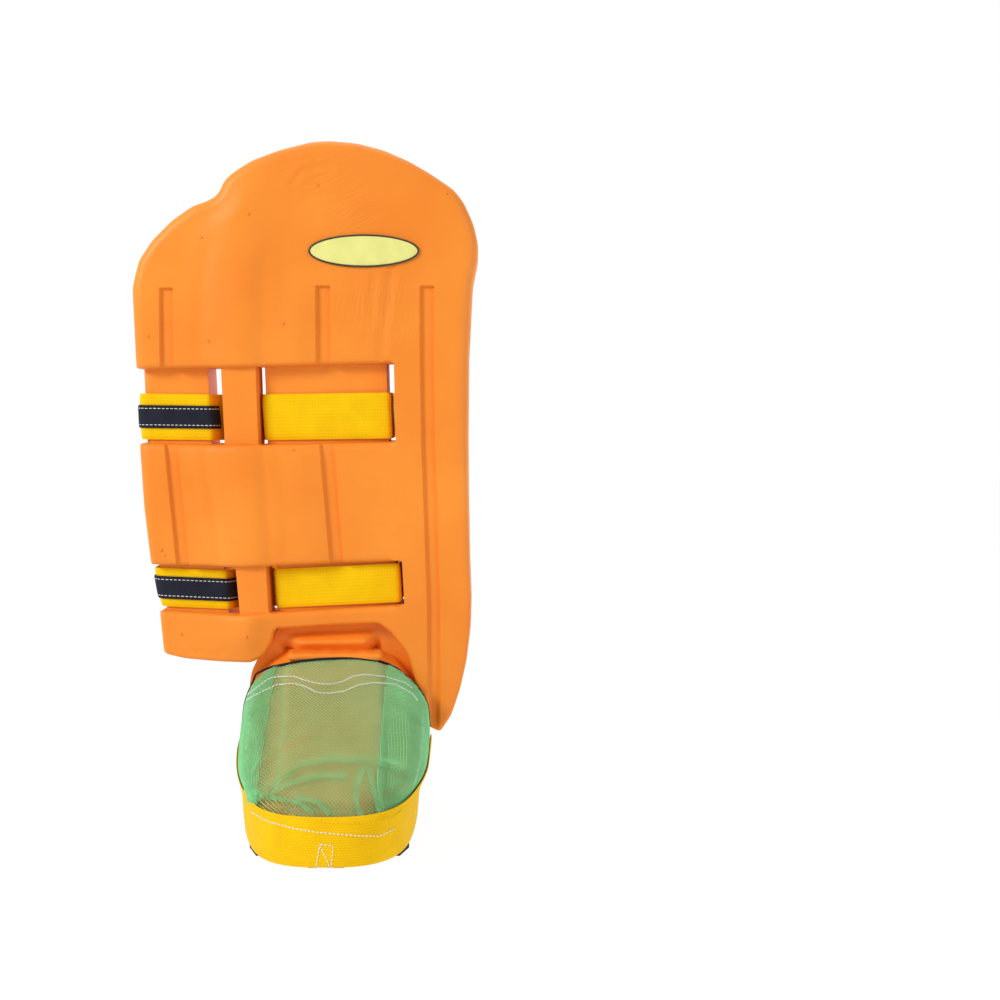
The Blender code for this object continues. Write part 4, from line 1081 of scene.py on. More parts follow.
@dataclass
class FootShape:
    """The foot guard's form: level outlines, each a U whose nose is |x|^2.5 + |y|^2.5 = 1."""

    centre_x: float = 23 * MM
    width: float = 150 * MM
    height: float = 149 * MM
    toe_y: float = -153 * MM
    rear_y: float = 70 * MM
    side_wall: float = 16 * MM
    toe_wall: float = 24 * MM
    rib_width: float = 82 * MM
    rib_relief: float = 8 * MM
    rib_edge: float = 7 * MM
    roundness: float = 2.5
    toe_skew: float = 0.16
    sole_lift: float = 2.2 * MM
    cross_strap_y: float = -98 * MM
    cover_offset: float = 0.8 * MM
    cover_puff: float = 4 * MM
    cover_end_y: float = 11 * MM

    levels = np.array(
        [
            (0.000, 0.045, 0.83, 0.040, 0.53),
            (0.055, 0.010, 0.88, 0.040, 0.54),
            (0.150, 0.000, 0.90, 0.040, 0.54),
            (0.280, 0.004, 0.92, 0.040, 0.54),
            (0.362, 0.048, 0.96, 0.040, 0.53),
            (0.443, 0.120, 0.99, 0.040, 0.52),
            (0.564, 0.250, 1.00, 0.040, 0.48),
            (0.698, 0.402, 0.98, 0.027, 0.42),
            (0.832, 0.564, 0.90, -0.013, 0.33),
            (0.926, 0.690, 0.80, -0.013, 0.24),
            (1.000, 0.788, 0.72, 0.000, 0.17),
        ]
    )

    def level(self, share: float) -> tuple[float, float, float, float]:
        """Toe front, half width, middle and nose length at a share of the height, gently rounded."""
        near = np.clip(share + np.linspace(-0.028, 0.028, 7), 0, 1)
        near += share - near.mean()
        row = [np.interp(near, self.levels[:, 0], self.levels[:, k]).mean() for k in range(1, 5)]
        length = self.rear_y - self.toe_y
        tip = self.toe_y + row[0] * length
        nose = min(row[3] * length, self.rear_y - 2 * MM - tip)
        return tip, row[1] * self.width / 2, self.centre_x + row[2] * self.width / 2, nose

    def outline(
        self, share: float, offset: float, end_y: float, count: int, rib: bool = True, inner: bool = False
    ) -> np.ndarray:
        """Evenly spaced points of one level, from the left rear round the toe to the right rear.

        Args:
            share: the level as a share of the height.
            offset: how far outside the foam the line runs.
            end_y: where the line stops at the rear.
            count: how many points.
            rib: whether the raised rib shows.
            inner: whether it is the hollow's line.

        Returns:
            The points as (x, y).
        """
        tip, half, middle, nose = self.level(share)
        length = self.rear_y - self.toe_y
        widest = tip + nose
        if inner:
            sloped = smooth_step((share - 0.3) / 0.2) * (1 - smooth_step((share - 0.8) / 0.2))
            half, nose = half - self.side_wall, nose - self.toe_wall * (1 + 0.5 * sloped)
        else:
            half, nose = half + offset, nose + offset
        angle = np.linspace(-math.pi / 2, math.pi / 2, 361)
        power = 2 / self.roundness
        across = np.sign(np.sin(angle)) * np.abs(np.sin(angle)) ** power
        y = widest - nose * np.abs(np.cos(angle)) ** power
        forward = np.clip((widest - y) / length, 0, None)
        x = middle + half * across + self.toe_skew * half * forward
        if rib and not inner:
            edge = np.abs(across) * half
            raised = 1 - smooth_step((edge - (self.rib_width - self.rib_edge) / 2) / self.rib_edge)
            y -= self.rib_relief * raised * smooth_step((share - 0.30) / 0.12)
        side = np.linspace(self.rear_y, widest, 40)[:-1]
        narrow = half * (1 - 0.10 * (side - widest) / length)
        x = np.concatenate([middle - narrow, x, (middle + narrow)[::-1]])
        y = np.concatenate([side, y, side[::-1]])
        line = np.stack([x, y], axis=1)
        ahead = np.flatnonzero(y < end_y)
        if len(ahead) and ahead[0] > 0:
            first, last = ahead[0], ahead[-1]
            ends = []
            for inside, beyond in ((first, first - 1), (last, last + 1)):
                part = (end_y - y[inside]) / (y[beyond] - y[inside])
                ends.append(line[inside] + part * (line[beyond] - line[inside]))
            line = np.concatenate([[ends[0]], line[first : last + 1], [ends[1]]])
        run = arc_length(line)
        even = np.linspace(0, run[-1], count)
        return np.stack([np.interp(even, run, line[:, 0]), np.interp(even, run, line[:, 1])], axis=1)

    def puffed(self, share: float) -> float:
        """How far the cover stands off the foam at a level."""
        risen = self.cover_puff * smooth_step((share - 0.29) / 0.12)
        return risen * (1 - 0.6 * smooth_step((share - 0.7) / 0.25))

    def underside(self, y: np.ndarray) -> np.ndarray:
        """The height of the foam's underside, lifted over the webbing at the toe."""
        return self.sole_lift * (1 - smooth_step((y - (self.cross_strap_y + 20 * MM)) / (18 * MM)))

    def band_middle(self, y: object) -> object:
        """The toe band's middle height: it climbs with the 1.7th power of the way back."""
        back = np.clip((y - self.toe_y) / (self.cover_end_y - self.toe_y), 0, 1)
        return 20 * MM + self.sole_lift - GAP + 36 * MM * back**1.7

    def foam(self) -> tuple[np.ndarray, np.ndarray]:
        """The hollow foam: a ring of outside and inside levels at each place round the toe."""
        shares = np.concatenate(
            [np.linspace(0, 0.03, 5), np.linspace(0.045, 0.95, 66), np.linspace(0.958, 1.0, 8)]
        )
        count = 170
        outer, inner = [], []
        for share in shares:
            top = smooth_step((share - 0.955) / 0.045) ** 2 * 3.2 * MM
            low = smooth_step((0.022 - share) / 0.022) ** 2 * 1.2 * MM
            edge = self.outline(share, -(top + low), self.rear_y, count)
            within = self.outline(share, 0.0, self.rear_y, count, inner=True)
            for grid, line in ((outer, edge), (inner, within)):
                z = np.maximum(np.full(count, share * self.height), self.underside(line[:, 1]))
                grid.append(np.column_stack([line, z]))
        outer, inner = np.array(outer), np.array(inner)
        outer = self.tongue_marks(outer)
        rings = np.concatenate([outer, inner[::-1]]).transpose(1, 0, 2)
        places, around = rings.shape[:2]
        faces = [grid_quads(places, around, wrap=True)]
        step = np.arange(len(shares) - 1)
        other = around - 1 - step
        cap = np.stack([step, step + 1, other - 1, other], axis=1)
        last = (places - 1) * around
        faces += [cap, cap[:, ::-1] + last]
        return rings.reshape(-1, 3), np.concatenate(faces)

    def tongue_marks(self, outer: np.ndarray) -> np.ndarray:
        """Sinks the tongue's ledge line, its side edges and small creases into the front, by bell curves."""
        flat = outer.reshape(-1, 3)
        place = flat[:, [0, 2]]
        sink = np.zeros(len(flat))
        front_y, last_y = -8 * MM, 45 * MM
        for deep, wide, line in FOOT_CREASES:
            points = VIEW.on_plane(line, front_y)[:, [0, 2]]
            sink += deep * MM * bell(line_distance(place, points), wide * MM)
        sink *= flat[:, 1] < last_y
        return (flat + np.stack([0 * sink, sink, 0 * sink], axis=1)).reshape(outer.shape)

    def cover(self, lift: float = 0.0) -> tuple[np.ndarray, np.ndarray]:
        """The net's surface: foam outlines moved out by the offset and the puff, with its folds."""
        levels, around, lowest = 110, 260, 0.19
        shares = np.linspace(lowest, 1.0, levels)
        grid = []
        for share in shares:
            offset = self.cover_offset + 0.5 * MM + lift + float(self.puffed(share))
            line = self.outline(share, offset, self.rear_y, around)
            grid.append(np.column_stack([line, np.full(len(line), share * self.height)]))
        grid = np.array(grid)
        tree = search_tree(grid.reshape(-1, 3), grid_quads(*grid.shape[:2]))
        normal = unit(np.cross(np.gradient(grid, axis=1), np.gradient(grid, axis=0)))
        normal *= np.sign((normal * (grid - np.array([self.centre_x, 0.02, 0.02]))).sum(axis=2))[..., None]
        flat = grid.reshape(-1, 3)
        rise = np.zeros(len(flat))
        for high, wide, line in NET_FOLDS:
            points, _ = VIEW.cast(tree, line)
            rise += high * MM * bell(line_distance(flat, points), wide * MM)
        points = flat + normal.reshape(-1, 3) * rise[:, None]
        return points, grid_quads(*grid.shape[:2])


# Marks on the foot guard's front: depth and width in millimetres, and points in the photograph's frame
FOOT_CREASES = (
    (1.3, 1.4, ((284, 661), (300, 662), (334, 662), (366, 661), (382, 660))),
    (0.9, 1.6, ((284, 650), (282, 657), (276, 664))),
    (0.9, 1.6, ((381, 650), (384, 657), (392, 664))),
    (0.5, 1.3, ((300, 655), (318, 657), (340, 655), (360, 656))),
    (0.4, 1.2, ((292, 658), (306, 659), (322, 658))),
    (3.0, 1.5, ((279, 688), (280, 705), (281, 735), (279, 760))),
    (3.0, 1.5, ((384, 688), (383, 705), (382, 735), (383, 760))),
)

# Folds of the net: height and width in millimetres, and points in the photograph's frame
NET_FOLDS = (
    (2.6, 5.0, ((252, 800), (265, 795), (282, 779), (300, 766), (330, 760), (370, 762), (398, 770))),
    (2.2, 2.6, ((268, 798), (283, 786), (300, 781), (325, 776), (345, 777))),
    (2.0, 2.2, ((364, 768), (357, 785), (356, 802), (362, 818))),
    (1.8, 2.2, ((369, 772), (374, 790), (380, 814))),
    (1.8, 2.6, ((246, 790), (270, 797), (300, 803), (312, 812))),
    (1.6, 2.4, ((297, 797), (318, 803), (328, 814))),
    (1.4, 4.0, ((258, 770), (280, 748), (305, 736))),
    (1.2, 5.0, ((250, 716), (262, 742), (262, 775))),
    (1.2, 5.0, ((398, 700), (408, 730), (404, 775))),
)


@dataclass
class Net:
    """A net laid on a surface: threads between the places where rays meet it, and a knot at each."""

    pitch: float = 2.2 * MM
    yarn: float = 0.66 * MM
    knot: float = 1.05 * MM
    stand_off: float = 300 * MM

    def lay(
        self,
        tree: BVHTree,
        middle: tuple[float, float, float],
        ray: tuple[float, float, float],
        reach: float,
        facing: float,
        keep: Callable[[Vector], bool],
        lift: float,
    ) -> tuple[np.ndarray, np.ndarray, np.ndarray]:
        """One panel of net, its threads at 45 degrees to the level.

        Args:
            tree: the surface's search tree.
            middle: a point that the middle ray passes through.
            ray: the rays' direction.
            reach: how far the panel goes to each side of the middle.
            facing: the least cosine between the surface and the rays that is still covered.
            keep: says from a point's coordinates whether the net is there.
            lift: how far the yarns stand off the surface.

        Returns:
            Points, faces, and the two UV numbers of each point.
        """
        way = unit(np.array(ray, float))
        level = unit(np.cross(way, (0.0, 0.0, 1.0)))
        rise = np.cross(level, way)
        along, up = (level + rise) / math.sqrt(2), (rise - level) / math.sqrt(2)
        count = int(2 * reach / self.pitch)
        steps = (np.arange(count) - (count - 1) / 2) * self.pitch
        start = np.array(middle) - way * self.stand_off
        line = Vector(way)
        place = np.full((count, count, 3), np.nan)
        normal = np.zeros((count, count, 3))
        for r, rise_by in enumerate(steps):
            for c, go in enumerate(steps):
                hit, face, _, _ = tree.ray_cast(Vector(start + along * go + up * rise_by), line)
                if hit is None:
                    continue
                turned = face if face.dot(line) < 0 else -face
                if -turned.dot(line) > facing and keep(hit):
                    place[r, c] = hit + turned * lift
                    normal[r, c] = turned
        parts = [
            self.yarns(place, normal, -0.25 * self.yarn),
            self.yarns(place.transpose(1, 0, 2), normal.transpose(1, 0, 2), 0.25 * self.yarn),
            self.knots(place, normal, along),
        ]
        starts = np.cumsum([0] + [len(points) for points, _, _ in parts])
        points, _, uv = (np.concatenate([part[k] for part in parts]) for k in range(3))
        faces = np.concatenate([part[1] + start for part, start in zip(parts, starts)])
        return points, faces, uv

    def knots(self, place: np.ndarray, normal: np.ndarray, along: np.ndarray) -> tuple[np.ndarray, ...]:
        """A pyramid of four sides at each place."""
        there = ~np.isnan(place[..., 0])
        spot, out = place[there], normal[there]
        side = unit(np.cross(out, along))
        other = np.cross(side, out)
        half = self.knot / 2
        base = spot + out * 0.1 * self.yarn
        points = np.stack(
            [
                base + side * half,
                base + other * half,
                base - side * half,
                base - other * half,
                spot + out * self.yarn,
            ],
            axis=1,
        )
        one = np.array([[0, 1, 4, 4], [1, 2, 4, 4], [2, 3, 4, 4], [3, 0, 4, 4]])
        faces = (one[None] + 5 * np.arange(len(spot))[:, None, None]).reshape(-1, 4)
        return points.reshape(-1, 3), faces, np.zeros((5 * len(spot), 2))

    def yarns(self, place: np.ndarray, normal: np.ndarray, step: float) -> tuple[np.ndarray, ...]:
        """The yarns along a table's rows: three points a place, joined where both neighbours are there."""
        there = ~np.isnan(place[..., 0])
        safe = np.where(there[..., None], place, 0.0)
        ahead = np.roll(safe, -1, axis=1) - safe
        behind = safe - np.roll(safe, 1, axis=1)
        joined = there & np.roll(there, -1, axis=1)
        joined[:, -1] = False
        before = np.roll(joined, 1, axis=1)
        way = unit(np.where(joined[..., None], ahead, 0) + np.where(before[..., None], behind, 0))
        side = unit(np.cross(way, normal)) * self.yarn / 2
        base = safe + normal * step
        ring = np.stack([base - side, base + side, base + normal * self.yarn * 0.8], axis=2)
        rows, columns = there.shape
        index = np.arange(rows * columns * 3).reshape(rows, columns, 3)
        near, far = index, np.roll(index, -1, axis=1)
        quads = [
            np.stack([near[..., a], far[..., a], far[..., b], near[..., b]], axis=2)[joined]
            for a, b in ((0, 1), (1, 2), (2, 0))
        ]
        starts, stops = joined & ~before, before & ~joined
        caps = [index[starts][:, [0, 1, 2, 2]], index[stops][:, [1, 0, 2, 2]]]
        faces = np.concatenate([*quads, *caps])
        used, renumbered = np.unique(faces, return_inverse=True)
        run = np.broadcast_to(np.arange(columns)[None, :, None] * self.pitch, index.shape).reshape(-1)
        round_it = np.broadcast_to(np.arange(3) * self.yarn, index.shape).reshape(-1)
        uv = np.stack([run, round_it], axis=1)[used]
        return ring.reshape(-1, 3)[used], renumbered.reshape(-1, 4), uv


def belt(pulleys: list[tuple[float, float, float]]) -> np.ndarray:
    """A closed line round pulleys (x, y, signed radius): arcs joined by their common tangents."""
    count = len(pulleys)
    headings = []
    for i in range(count):
        (x1, y1, r1), (x2, y2, r2) = pulleys[i], pulleys[(i + 1) % count]
        apart = math.hypot(x2 - x1, y2 - y1)
        headings.append(math.atan2(y2 - y1, x2 - x1) - math.asin((r1 - r2) / apart))
    line = []
    for i, (x, y, r) in enumerate(pulleys):
        start, end = headings[i - 1], headings[i]
        turn = (end - start + math.pi) % (2 * math.pi) - math.pi
        steps = 4 + round(abs(turn) * 16)
        angles = start + turn * np.arange(steps + 1) / steps
        line.append(np.stack([x - r * np.sin(angles), y + r * np.cos(angles)], axis=1))
    return np.concatenate(line)


@dataclass
class Straps:
    """The elastic straps with their hook tape: flat closed loops round the pad's bars and the leg."""

    pad: PadShape
    thickness: float = 1.6 * MM
    tape_width: float = 20 * MM
    tape_thickness: float = 1.2 * MM
    tape_past_slot: float = 9 * MM
    tape_last_y: float = 47 * MM
    stitch: tuple[float, float, float] = (2.6 * MM, 1.1 * MM, 0.32 * MM)
    edge_inset: float = 2 * MM
    beside_edge: float = 15 * MM
    slot_clearance: float = 1.4 * MM
    corner: float = 6 * MM
    calf: tuple[float, float, float] = (17 * MM, 100 * MM, 56 * MM)
    spacing: float = 1.8 * MM
    smooth: float = 4 * MM
    section_points: int = 15

    # how far each strap lies below its recess's middle, at the pad's left and right
    drop = {"upper_panel_foot": (9 * MM, 12 * MM), "middle_panel_foot": (0.0, 0.0)}

    loops = (
        ("upper_strap", "upper_panel_foot", "middle_panel_top", 40 * MM),
        ("lower_strap", "middle_panel_foot", "lower_panel_top", 34 * MM),
    )

    def route(self, top: str, foot: str, extra: float) -> list[tuple[float, float, float]]:
        """The pulleys of one strap, for a line that lies extra outside its inner face."""
        pad = self.pad
        near = 2 * GAP + extra
        middle = (np.mean(pad.row_lines[top]) + np.mean(pad.row_lines[foot])) / 2
        middle -= np.mean(self.drop[top]) / pad.height
        floor_y = pad.front_y + pad.recess
        low = self.corner
        left = pad.x_of(float(pad.side_share(middle, 0))) + self.edge_inset
        back_y = pad.front_y + pad.depth

        def line_x(name: str) -> float:
            """Where an upright line crosses the strap."""
            return pad.x_of(pad.column_share(name, middle))

        bar_y = pad.front_y + pad.bar_back
        return [
            (left + low, floor_y + low, -(low + near)),
            (line_x("slot_a_left"), floor_y, -near),
            (line_x("bar_left"), bar_y, self.thickness + 3 * GAP - extra),
            (line_x("bar_right"), bar_y, self.thickness + 3 * GAP - extra),
            (line_x("bridge_left"), floor_y, -near),
            (line_x("slot_b_left"), floor_y, -(near + self.slot_clearance)),
            (line_x("slot_b_left"), back_y, -(near + self.slot_clearance)),
            (self.calf[0], self.calf[1], -(self.calf[2] + extra)),
            (left + low, back_y - low, -(low + near)),
        ]

    def upright_places(self, height: float) -> np.ndarray:
        """Where the pad's left side and its upright lines stand at a height."""
        pad = self.pad
        left = pad.x_of(float(pad.side_share(height, 0))) + self.beside_edge
        return np.array([left] + [pad.x_of(pad.column_share(name, height)) for name in pad.columns])

    def lines(
        self, top: str, foot: str, base: float, thick: float
    ) -> tuple[np.ndarray, np.ndarray, np.ndarray]:
        """The inner and outer line at even steps, and the middle's height along them."""
        inner, outer = belt(self.route(top, foot, base)), belt(self.route(top, foot, base + thick))
        middle = (inner + outer) / 2
        run = arc_length(np.concatenate([middle, middle[:1]]))
        even = np.linspace(0, run[-1], int(run[-1] / self.spacing), endpoint=False)
        lines = []
        for line in (inner, outer):
            ring = np.concatenate([line, line[:1]])
            lines.append(np.stack([np.interp(even, run, ring[:, k]) for k in range(2)], axis=1))
        share = np.clip(lines[0][:, 0] / self.pad.width + 0.5, 0, 1)
        height = self.pad.z_of((self.pad.row_share(top, share) + self.pad.row_share(foot, share)) / 2)
        height = height - np.interp(share, (0, 1), self.drop[top])
        return lines[0], lines[1], gaussian_line(height[:, None], even, self.smooth)[:, 0]

    def rings(self, inner: np.ndarray, outer: np.ndarray, height: np.ndarray, width: float) -> np.ndarray:
        """Flat sections of rounded edge: each point leans with the pad's upright lines at its height.

        The half thickness at a place e across is sqrt(1 - |e|^9).
        """
        count = self.section_points
        ends = np.concatenate([np.linspace(-1, 1, count), np.linspace(1, -1, count)[1:-1]])
        side = np.concatenate([np.ones(count), -np.ones(count - 2)])
        bulge = np.sqrt(np.clip(1 - np.abs(ends) ** 9, 0, 1))
        middle, half = (inner + outer) / 2, (outer - inner) / 2
        rings = np.empty((len(inner), len(ends), 3))
        level = (height - self.pad.bottom) / self.pad.height
        base = np.stack([self.upright_places(float(part)) for part in level])
        for k, (end, way, full) in enumerate(zip(ends, side, bulge)):
            reach = end * width / 2 / self.pad.height
            other = np.stack([self.upright_places(float(part)) for part in level + reach])
            shift = np.array([np.interp(x, a, b - a) for x, a, b in zip(inner[:, 0], base, other)])
            rings[:, k, 0] = middle[:, 0] + half[:, 0] * way * full + shift
            rings[:, k, 1] = middle[:, 1] + half[:, 1] * way * full
            rings[:, k, 2] = height + end * width / 2
        return rings

    def uv(self, rings: np.ndarray) -> np.ndarray:
        """The distance along the strap and round its section, one pair a point."""
        along = arc_length(rings.mean(axis=1))
        around = arc_length(rings[0])
        return np.stack(
            [np.repeat(along, rings.shape[1]), np.tile(around, rings.shape[0])],
            axis=1,
        )

    def build(self, shop: Workshop) -> None:
        """Makes both straps, their tapes and the tapes' stitches."""
        for name, top, foot, width in self.loops:
            inner, outer, height = self.lines(top, foot, 0.0, self.thickness)
            rings = self.rings(inner, outer, height, width)
            points, faces = tube(rings, closed=True)
            flat = self.uv(rings)
            strap = shop.piece(f"{name}_elastic", points, faces, ELASTIC, flat, (name,))
            self.tape(shop, name, top, foot)

    def tape(self, shop: Workshop, name: str, top: str, foot: str) -> None:
        """The hook tape on the strap's front end and two rows of white stitches along it."""
        base = self.thickness + 2 * GAP
        inner, outer, height = self.lines(top, foot, base, self.tape_thickness)
        middle = (np.mean(self.pad.row_lines[top]) + np.mean(self.pad.row_lines[foot])) / 2
        stop = self.pad.x_of(self.pad.column_share("slot_a_left", middle)) + self.tape_past_slot
        wanted = (inner[:, 0] < stop) & (inner[:, 1] < self.tape_last_y)
        first = int(np.flatnonzero(wanted & ~np.roll(wanted, 1))[0])
        order = (first + np.arange(int(wanted.sum()))) % len(inner)
        rings = self.rings(inner[order], outer[order], height[order], self.tape_width)
        points, faces = tube(rings, closed=False)
        uv = np.concatenate([self.uv(rings), np.zeros((2, 2))])
        node = name.replace("strap", "hook_tape")
        tape = shop.piece(f"{node}_cloth", points, faces, HOOK, uv, (node,))
        out = np.column_stack([outer[order] - inner[order], np.zeros(len(order))])
        rows = [np.column_stack([rings[:, k, :2], rings[:, k, 2]]) for k in (2, 12)]
        stitches = [stitch_row(row, unit(out), *self.stitch) for row in rows]
        add_stitches(shop, f"{node}_stitches", stitches, WHITE_YARN)


def stitch_row(
    path: np.ndarray, normals: np.ndarray, length: float, gap: float, radius: float
) -> tuple[np.ndarray, np.ndarray, np.ndarray]:
    """Even stitches along a path.

    Args:
        path: the seam's points.
        normals: the cloth's outward direction at each.
        length: one stitch's length.
        gap: what is left between two.
        radius: the yarn's radius.

    Returns:
        Each stitch's middle, half length vector and outward vector of the yarn's radius.
    """
    run = arc_length(path)
    places = np.arange(length / 2, run[-1] - length / 2, length + gap)

    def at(values: np.ndarray, where: np.ndarray) -> np.ndarray:
        """The path's values at distances along it."""
        return np.stack([np.interp(where, run, values[:, k]) for k in range(3)], axis=1)

    middle = at(path, places)
    half = (at(path, places + length / 2) - at(path, places - length / 2)) / 2
    return middle, half, unit(at(normals, places)) * radius


def add_stitches(shop: Workshop, name: str, rows: list, finish: NarrowCloth) -> bpy.types.Object:
    """Stitches as one mesh: spindles of four rings of six points, thick in the middle."""
    middle, half, out = (np.concatenate([row[k] for row in rows]) for k in range(3))
    side = unit(np.cross(half, out)) * np.linalg.norm(out, axis=1, keepdims=True)
    angles = np.arange(6) * math.pi / 3
    rings = []
    for along, thick in ((-1.0, 0.35), (-0.6, 1.0), (0.6, 1.0), (1.0, 0.35)):
        ring = (middle + half * along + out * 0.55 * thick)[:, None] + thick * (
            np.cos(angles)[None, :, None] * side[:, None] + np.sin(angles)[None, :, None] * out[:, None]
        )
        rings.append(ring)
    rings = np.stack(rings, axis=1)
    one = grid_quads(4, 6, wrap=True)
    caps = np.array([[0, 1, 2, 3], [3, 4, 5, 0], [21, 20, 19, 18], [18, 23, 22, 21]])
    one = np.concatenate([one, caps])
    count = len(middle)
    faces = (one[None] + 24 * np.arange(count)[:, None, None]).reshape(-1, 4)
    stitch_uv = np.stack([np.repeat(np.arange(4) * MM, 6), np.tile(np.arange(6) * 0.3 * MM, 4)], axis=1)
    uv = np.tile(stitch_uv, (count, 1))
    return shop.piece(name, rings.reshape(-1, 3), faces, finish, uv)


@dataclass
class FootDress:
    """What lies on the foot guard: net, binding, toe band and their stitches."""

    foot: FootShape
    band_thickness: float = 2 * MM
    side_layer: float = 47 * MM
    fold_reach: float = 1.9 * MM
    net_slack: float = 1.15

    def build(self, shop: Workshop) -> None:
        """Makes the foam, the net's panels, the binding, the band and the seams."""
        points, faces = self.foot.foam()
        foam = shop.piece("foot_guard_foam", points, faces, FOAM, None, ("foot_guard",))
        tree = search_tree(*self.foot.cover())
        hem, _ = VIEW.cast(tree, HEM)
        self.net(shop, tree, hem)
        self.binding(shop, tree, hem)
        band = self.band(shop)
        self.seams(shop, tree, band)

    def net(self, shop: Workshop, tree: BVHTree, hem: np.ndarray) -> None:
        """One panel over the toe and instep, a second layer on each side, and the folds doubled."""
        foot = self.foot
        folds = [VIEW.cast(tree, line)[0] for _, _, line in NET_FOLDS[:6]]
        order = np.argsort(hem[:, 0])

        def covered(hit: Vector) -> bool:
            """The cover's reach: below the hem, ahead of its rear edge, down to behind the band."""
            if hit.y > foot.cover_end_y or hit.z < foot.band_middle(hit.y) - 4 * MM:
                return False
            return hit.z < np.interp(hit.x, hem[order, 0], hem[order, 2])

        def beside(hit: Vector) -> bool:
            """The side layers' reach: outside the rib."""
            return covered(hit) and abs(hit.x - foot.centre_x) > self.side_layer

        def folded(hit: Vector) -> bool:
            """The places near a fold's line."""
            spot = np.array([hit])
            return covered(hit) and min(line_distance(spot, line)[0] for line in folds) < self.fold_reach

        middle = (foot.centre_x, -70 * MM, 80 * MM)
        panels = (
            ("net_front", Net(), (0.0, 0.86, -0.51), 150 * MM, 0.10, covered, 0.1 * MM, ("mesh_cover",)),
            ("net_left", Net(), (0.78, 0.60, -0.15), 120 * MM, 0.10, beside, 1.1 * MM, ()),
            ("net_right", Net(), (-0.78, 0.60, -0.15), 120 * MM, 0.10, beside, 1.1 * MM, ()),
            (
                "net_folds",
                Net(1.3 * MM, 0.5 * MM, 0.6 * MM),
                (0.0, 0.9, -0.4),
                80 * MM,
                0.05,
                folded,
                0.9 * MM,
                (),
            ),
        )
        for name, net, ray, reach, facing, keep, lift, nodes in panels:
            points, faces, uv = net.lay(tree, middle, ray, reach, facing, keep, lift)
            panel = shop.piece(name, points, faces, NET_YARN, uv, nodes)

    @staticmethod
    def area(points: np.ndarray, faces: np.ndarray) -> float:
        """The area of all faces."""
        a, b, c, d = (points[faces[:, k]] for k in range(4))
        half = np.linalg.norm(np.cross(b - a, c - a), axis=1) + np.linalg.norm(np.cross(c - a, d - a), axis=1)
        return float(half.sum() / 2)

    def rear_edge(self, lift: float, low: float) -> np.ndarray:
        """The line where the cover ends: up one side, over the instep and down the other."""
        foot = self.foot
        shares = 1 - (1 - low / foot.height) * np.linspace(1, 0, 160) ** 2.2
        left, right = [], []
        for share in shares:
            offset = foot.cover_offset + lift + float(foot.puffed(share))
            if foot.level(share)[0] - offset - foot.rib_relief > foot.cover_end_y - 1 * MM:
                break
            line = foot.outline(share, offset, foot.cover_end_y, 60)
            left.append((line[0, 0], foot.cover_end_y, share * foot.height))
            right.append((line[-1, 0], foot.cover_end_y, share * foot.height))
        line = np.array(left + right[::-1])
        line = resampled(line, 1.5 * MM)
        return gaussian_line(line, arc_length(line), 3 * MM)

    def binding(self, shop: Workshop, tree: BVHTree, hem: np.ndarray) -> None:
        """The black binding on the cover's edge: an oval bar up one side, along the hem and down."""
        centre = self.foot.centre_x
        above_band, join, half_width, half_thick, sides = 23 * MM, 6 * MM, 1.5 * MM, 0.9 * MM, 12
        low = float(self.foot.band_middle(self.foot.cover_end_y)) + above_band
        rear = self.rear_edge(1.2 * MM, low)
        left = rear[(rear[:, 0] < centre) & (rear[:, 2] < hem[0, 2] - join)]
        right = rear[(rear[:, 0] > centre) & (rear[:, 2] < hem[-1, 2] - join)]
        line = resampled(np.concatenate([left, hem, right]), 1.5 * MM)
        line = gaussian_line(line, arc_length(line), 4 * MM)
        out = np.array([tree.find_nearest(Vector(point))[1] for point in line])
        out *= np.sign((out * (line - np.array([centre, 0, 60 * MM]))).sum(axis=1))[:, None]
        out = unit(gaussian_line(out, arc_length(line), 5 * MM))
        side = unit(np.cross(np.gradient(line, axis=0), out))
        angles = np.linspace(0, 2 * math.pi, sides, endpoint=False)
        rings = (line + out * 0.8 * MM)[:, None] + (
            np.cos(angles)[None, :, None] * side[:, None] * half_width
            + np.sin(angles)[None, :, None] * out[:, None] * half_thick
        )
        points, faces = tube(rings, closed=False)
        round_it = np.tile(np.arange(sides) * 0.4 * MM, len(line))
        uv = np.stack([np.repeat(arc_length(line), sides), round_it], axis=1)
        uv = np.concatenate([uv, np.zeros((2, 2))])
        shop.piece("cover_binding_tape", points, faces, EDGING, uv, ("cover_binding",))

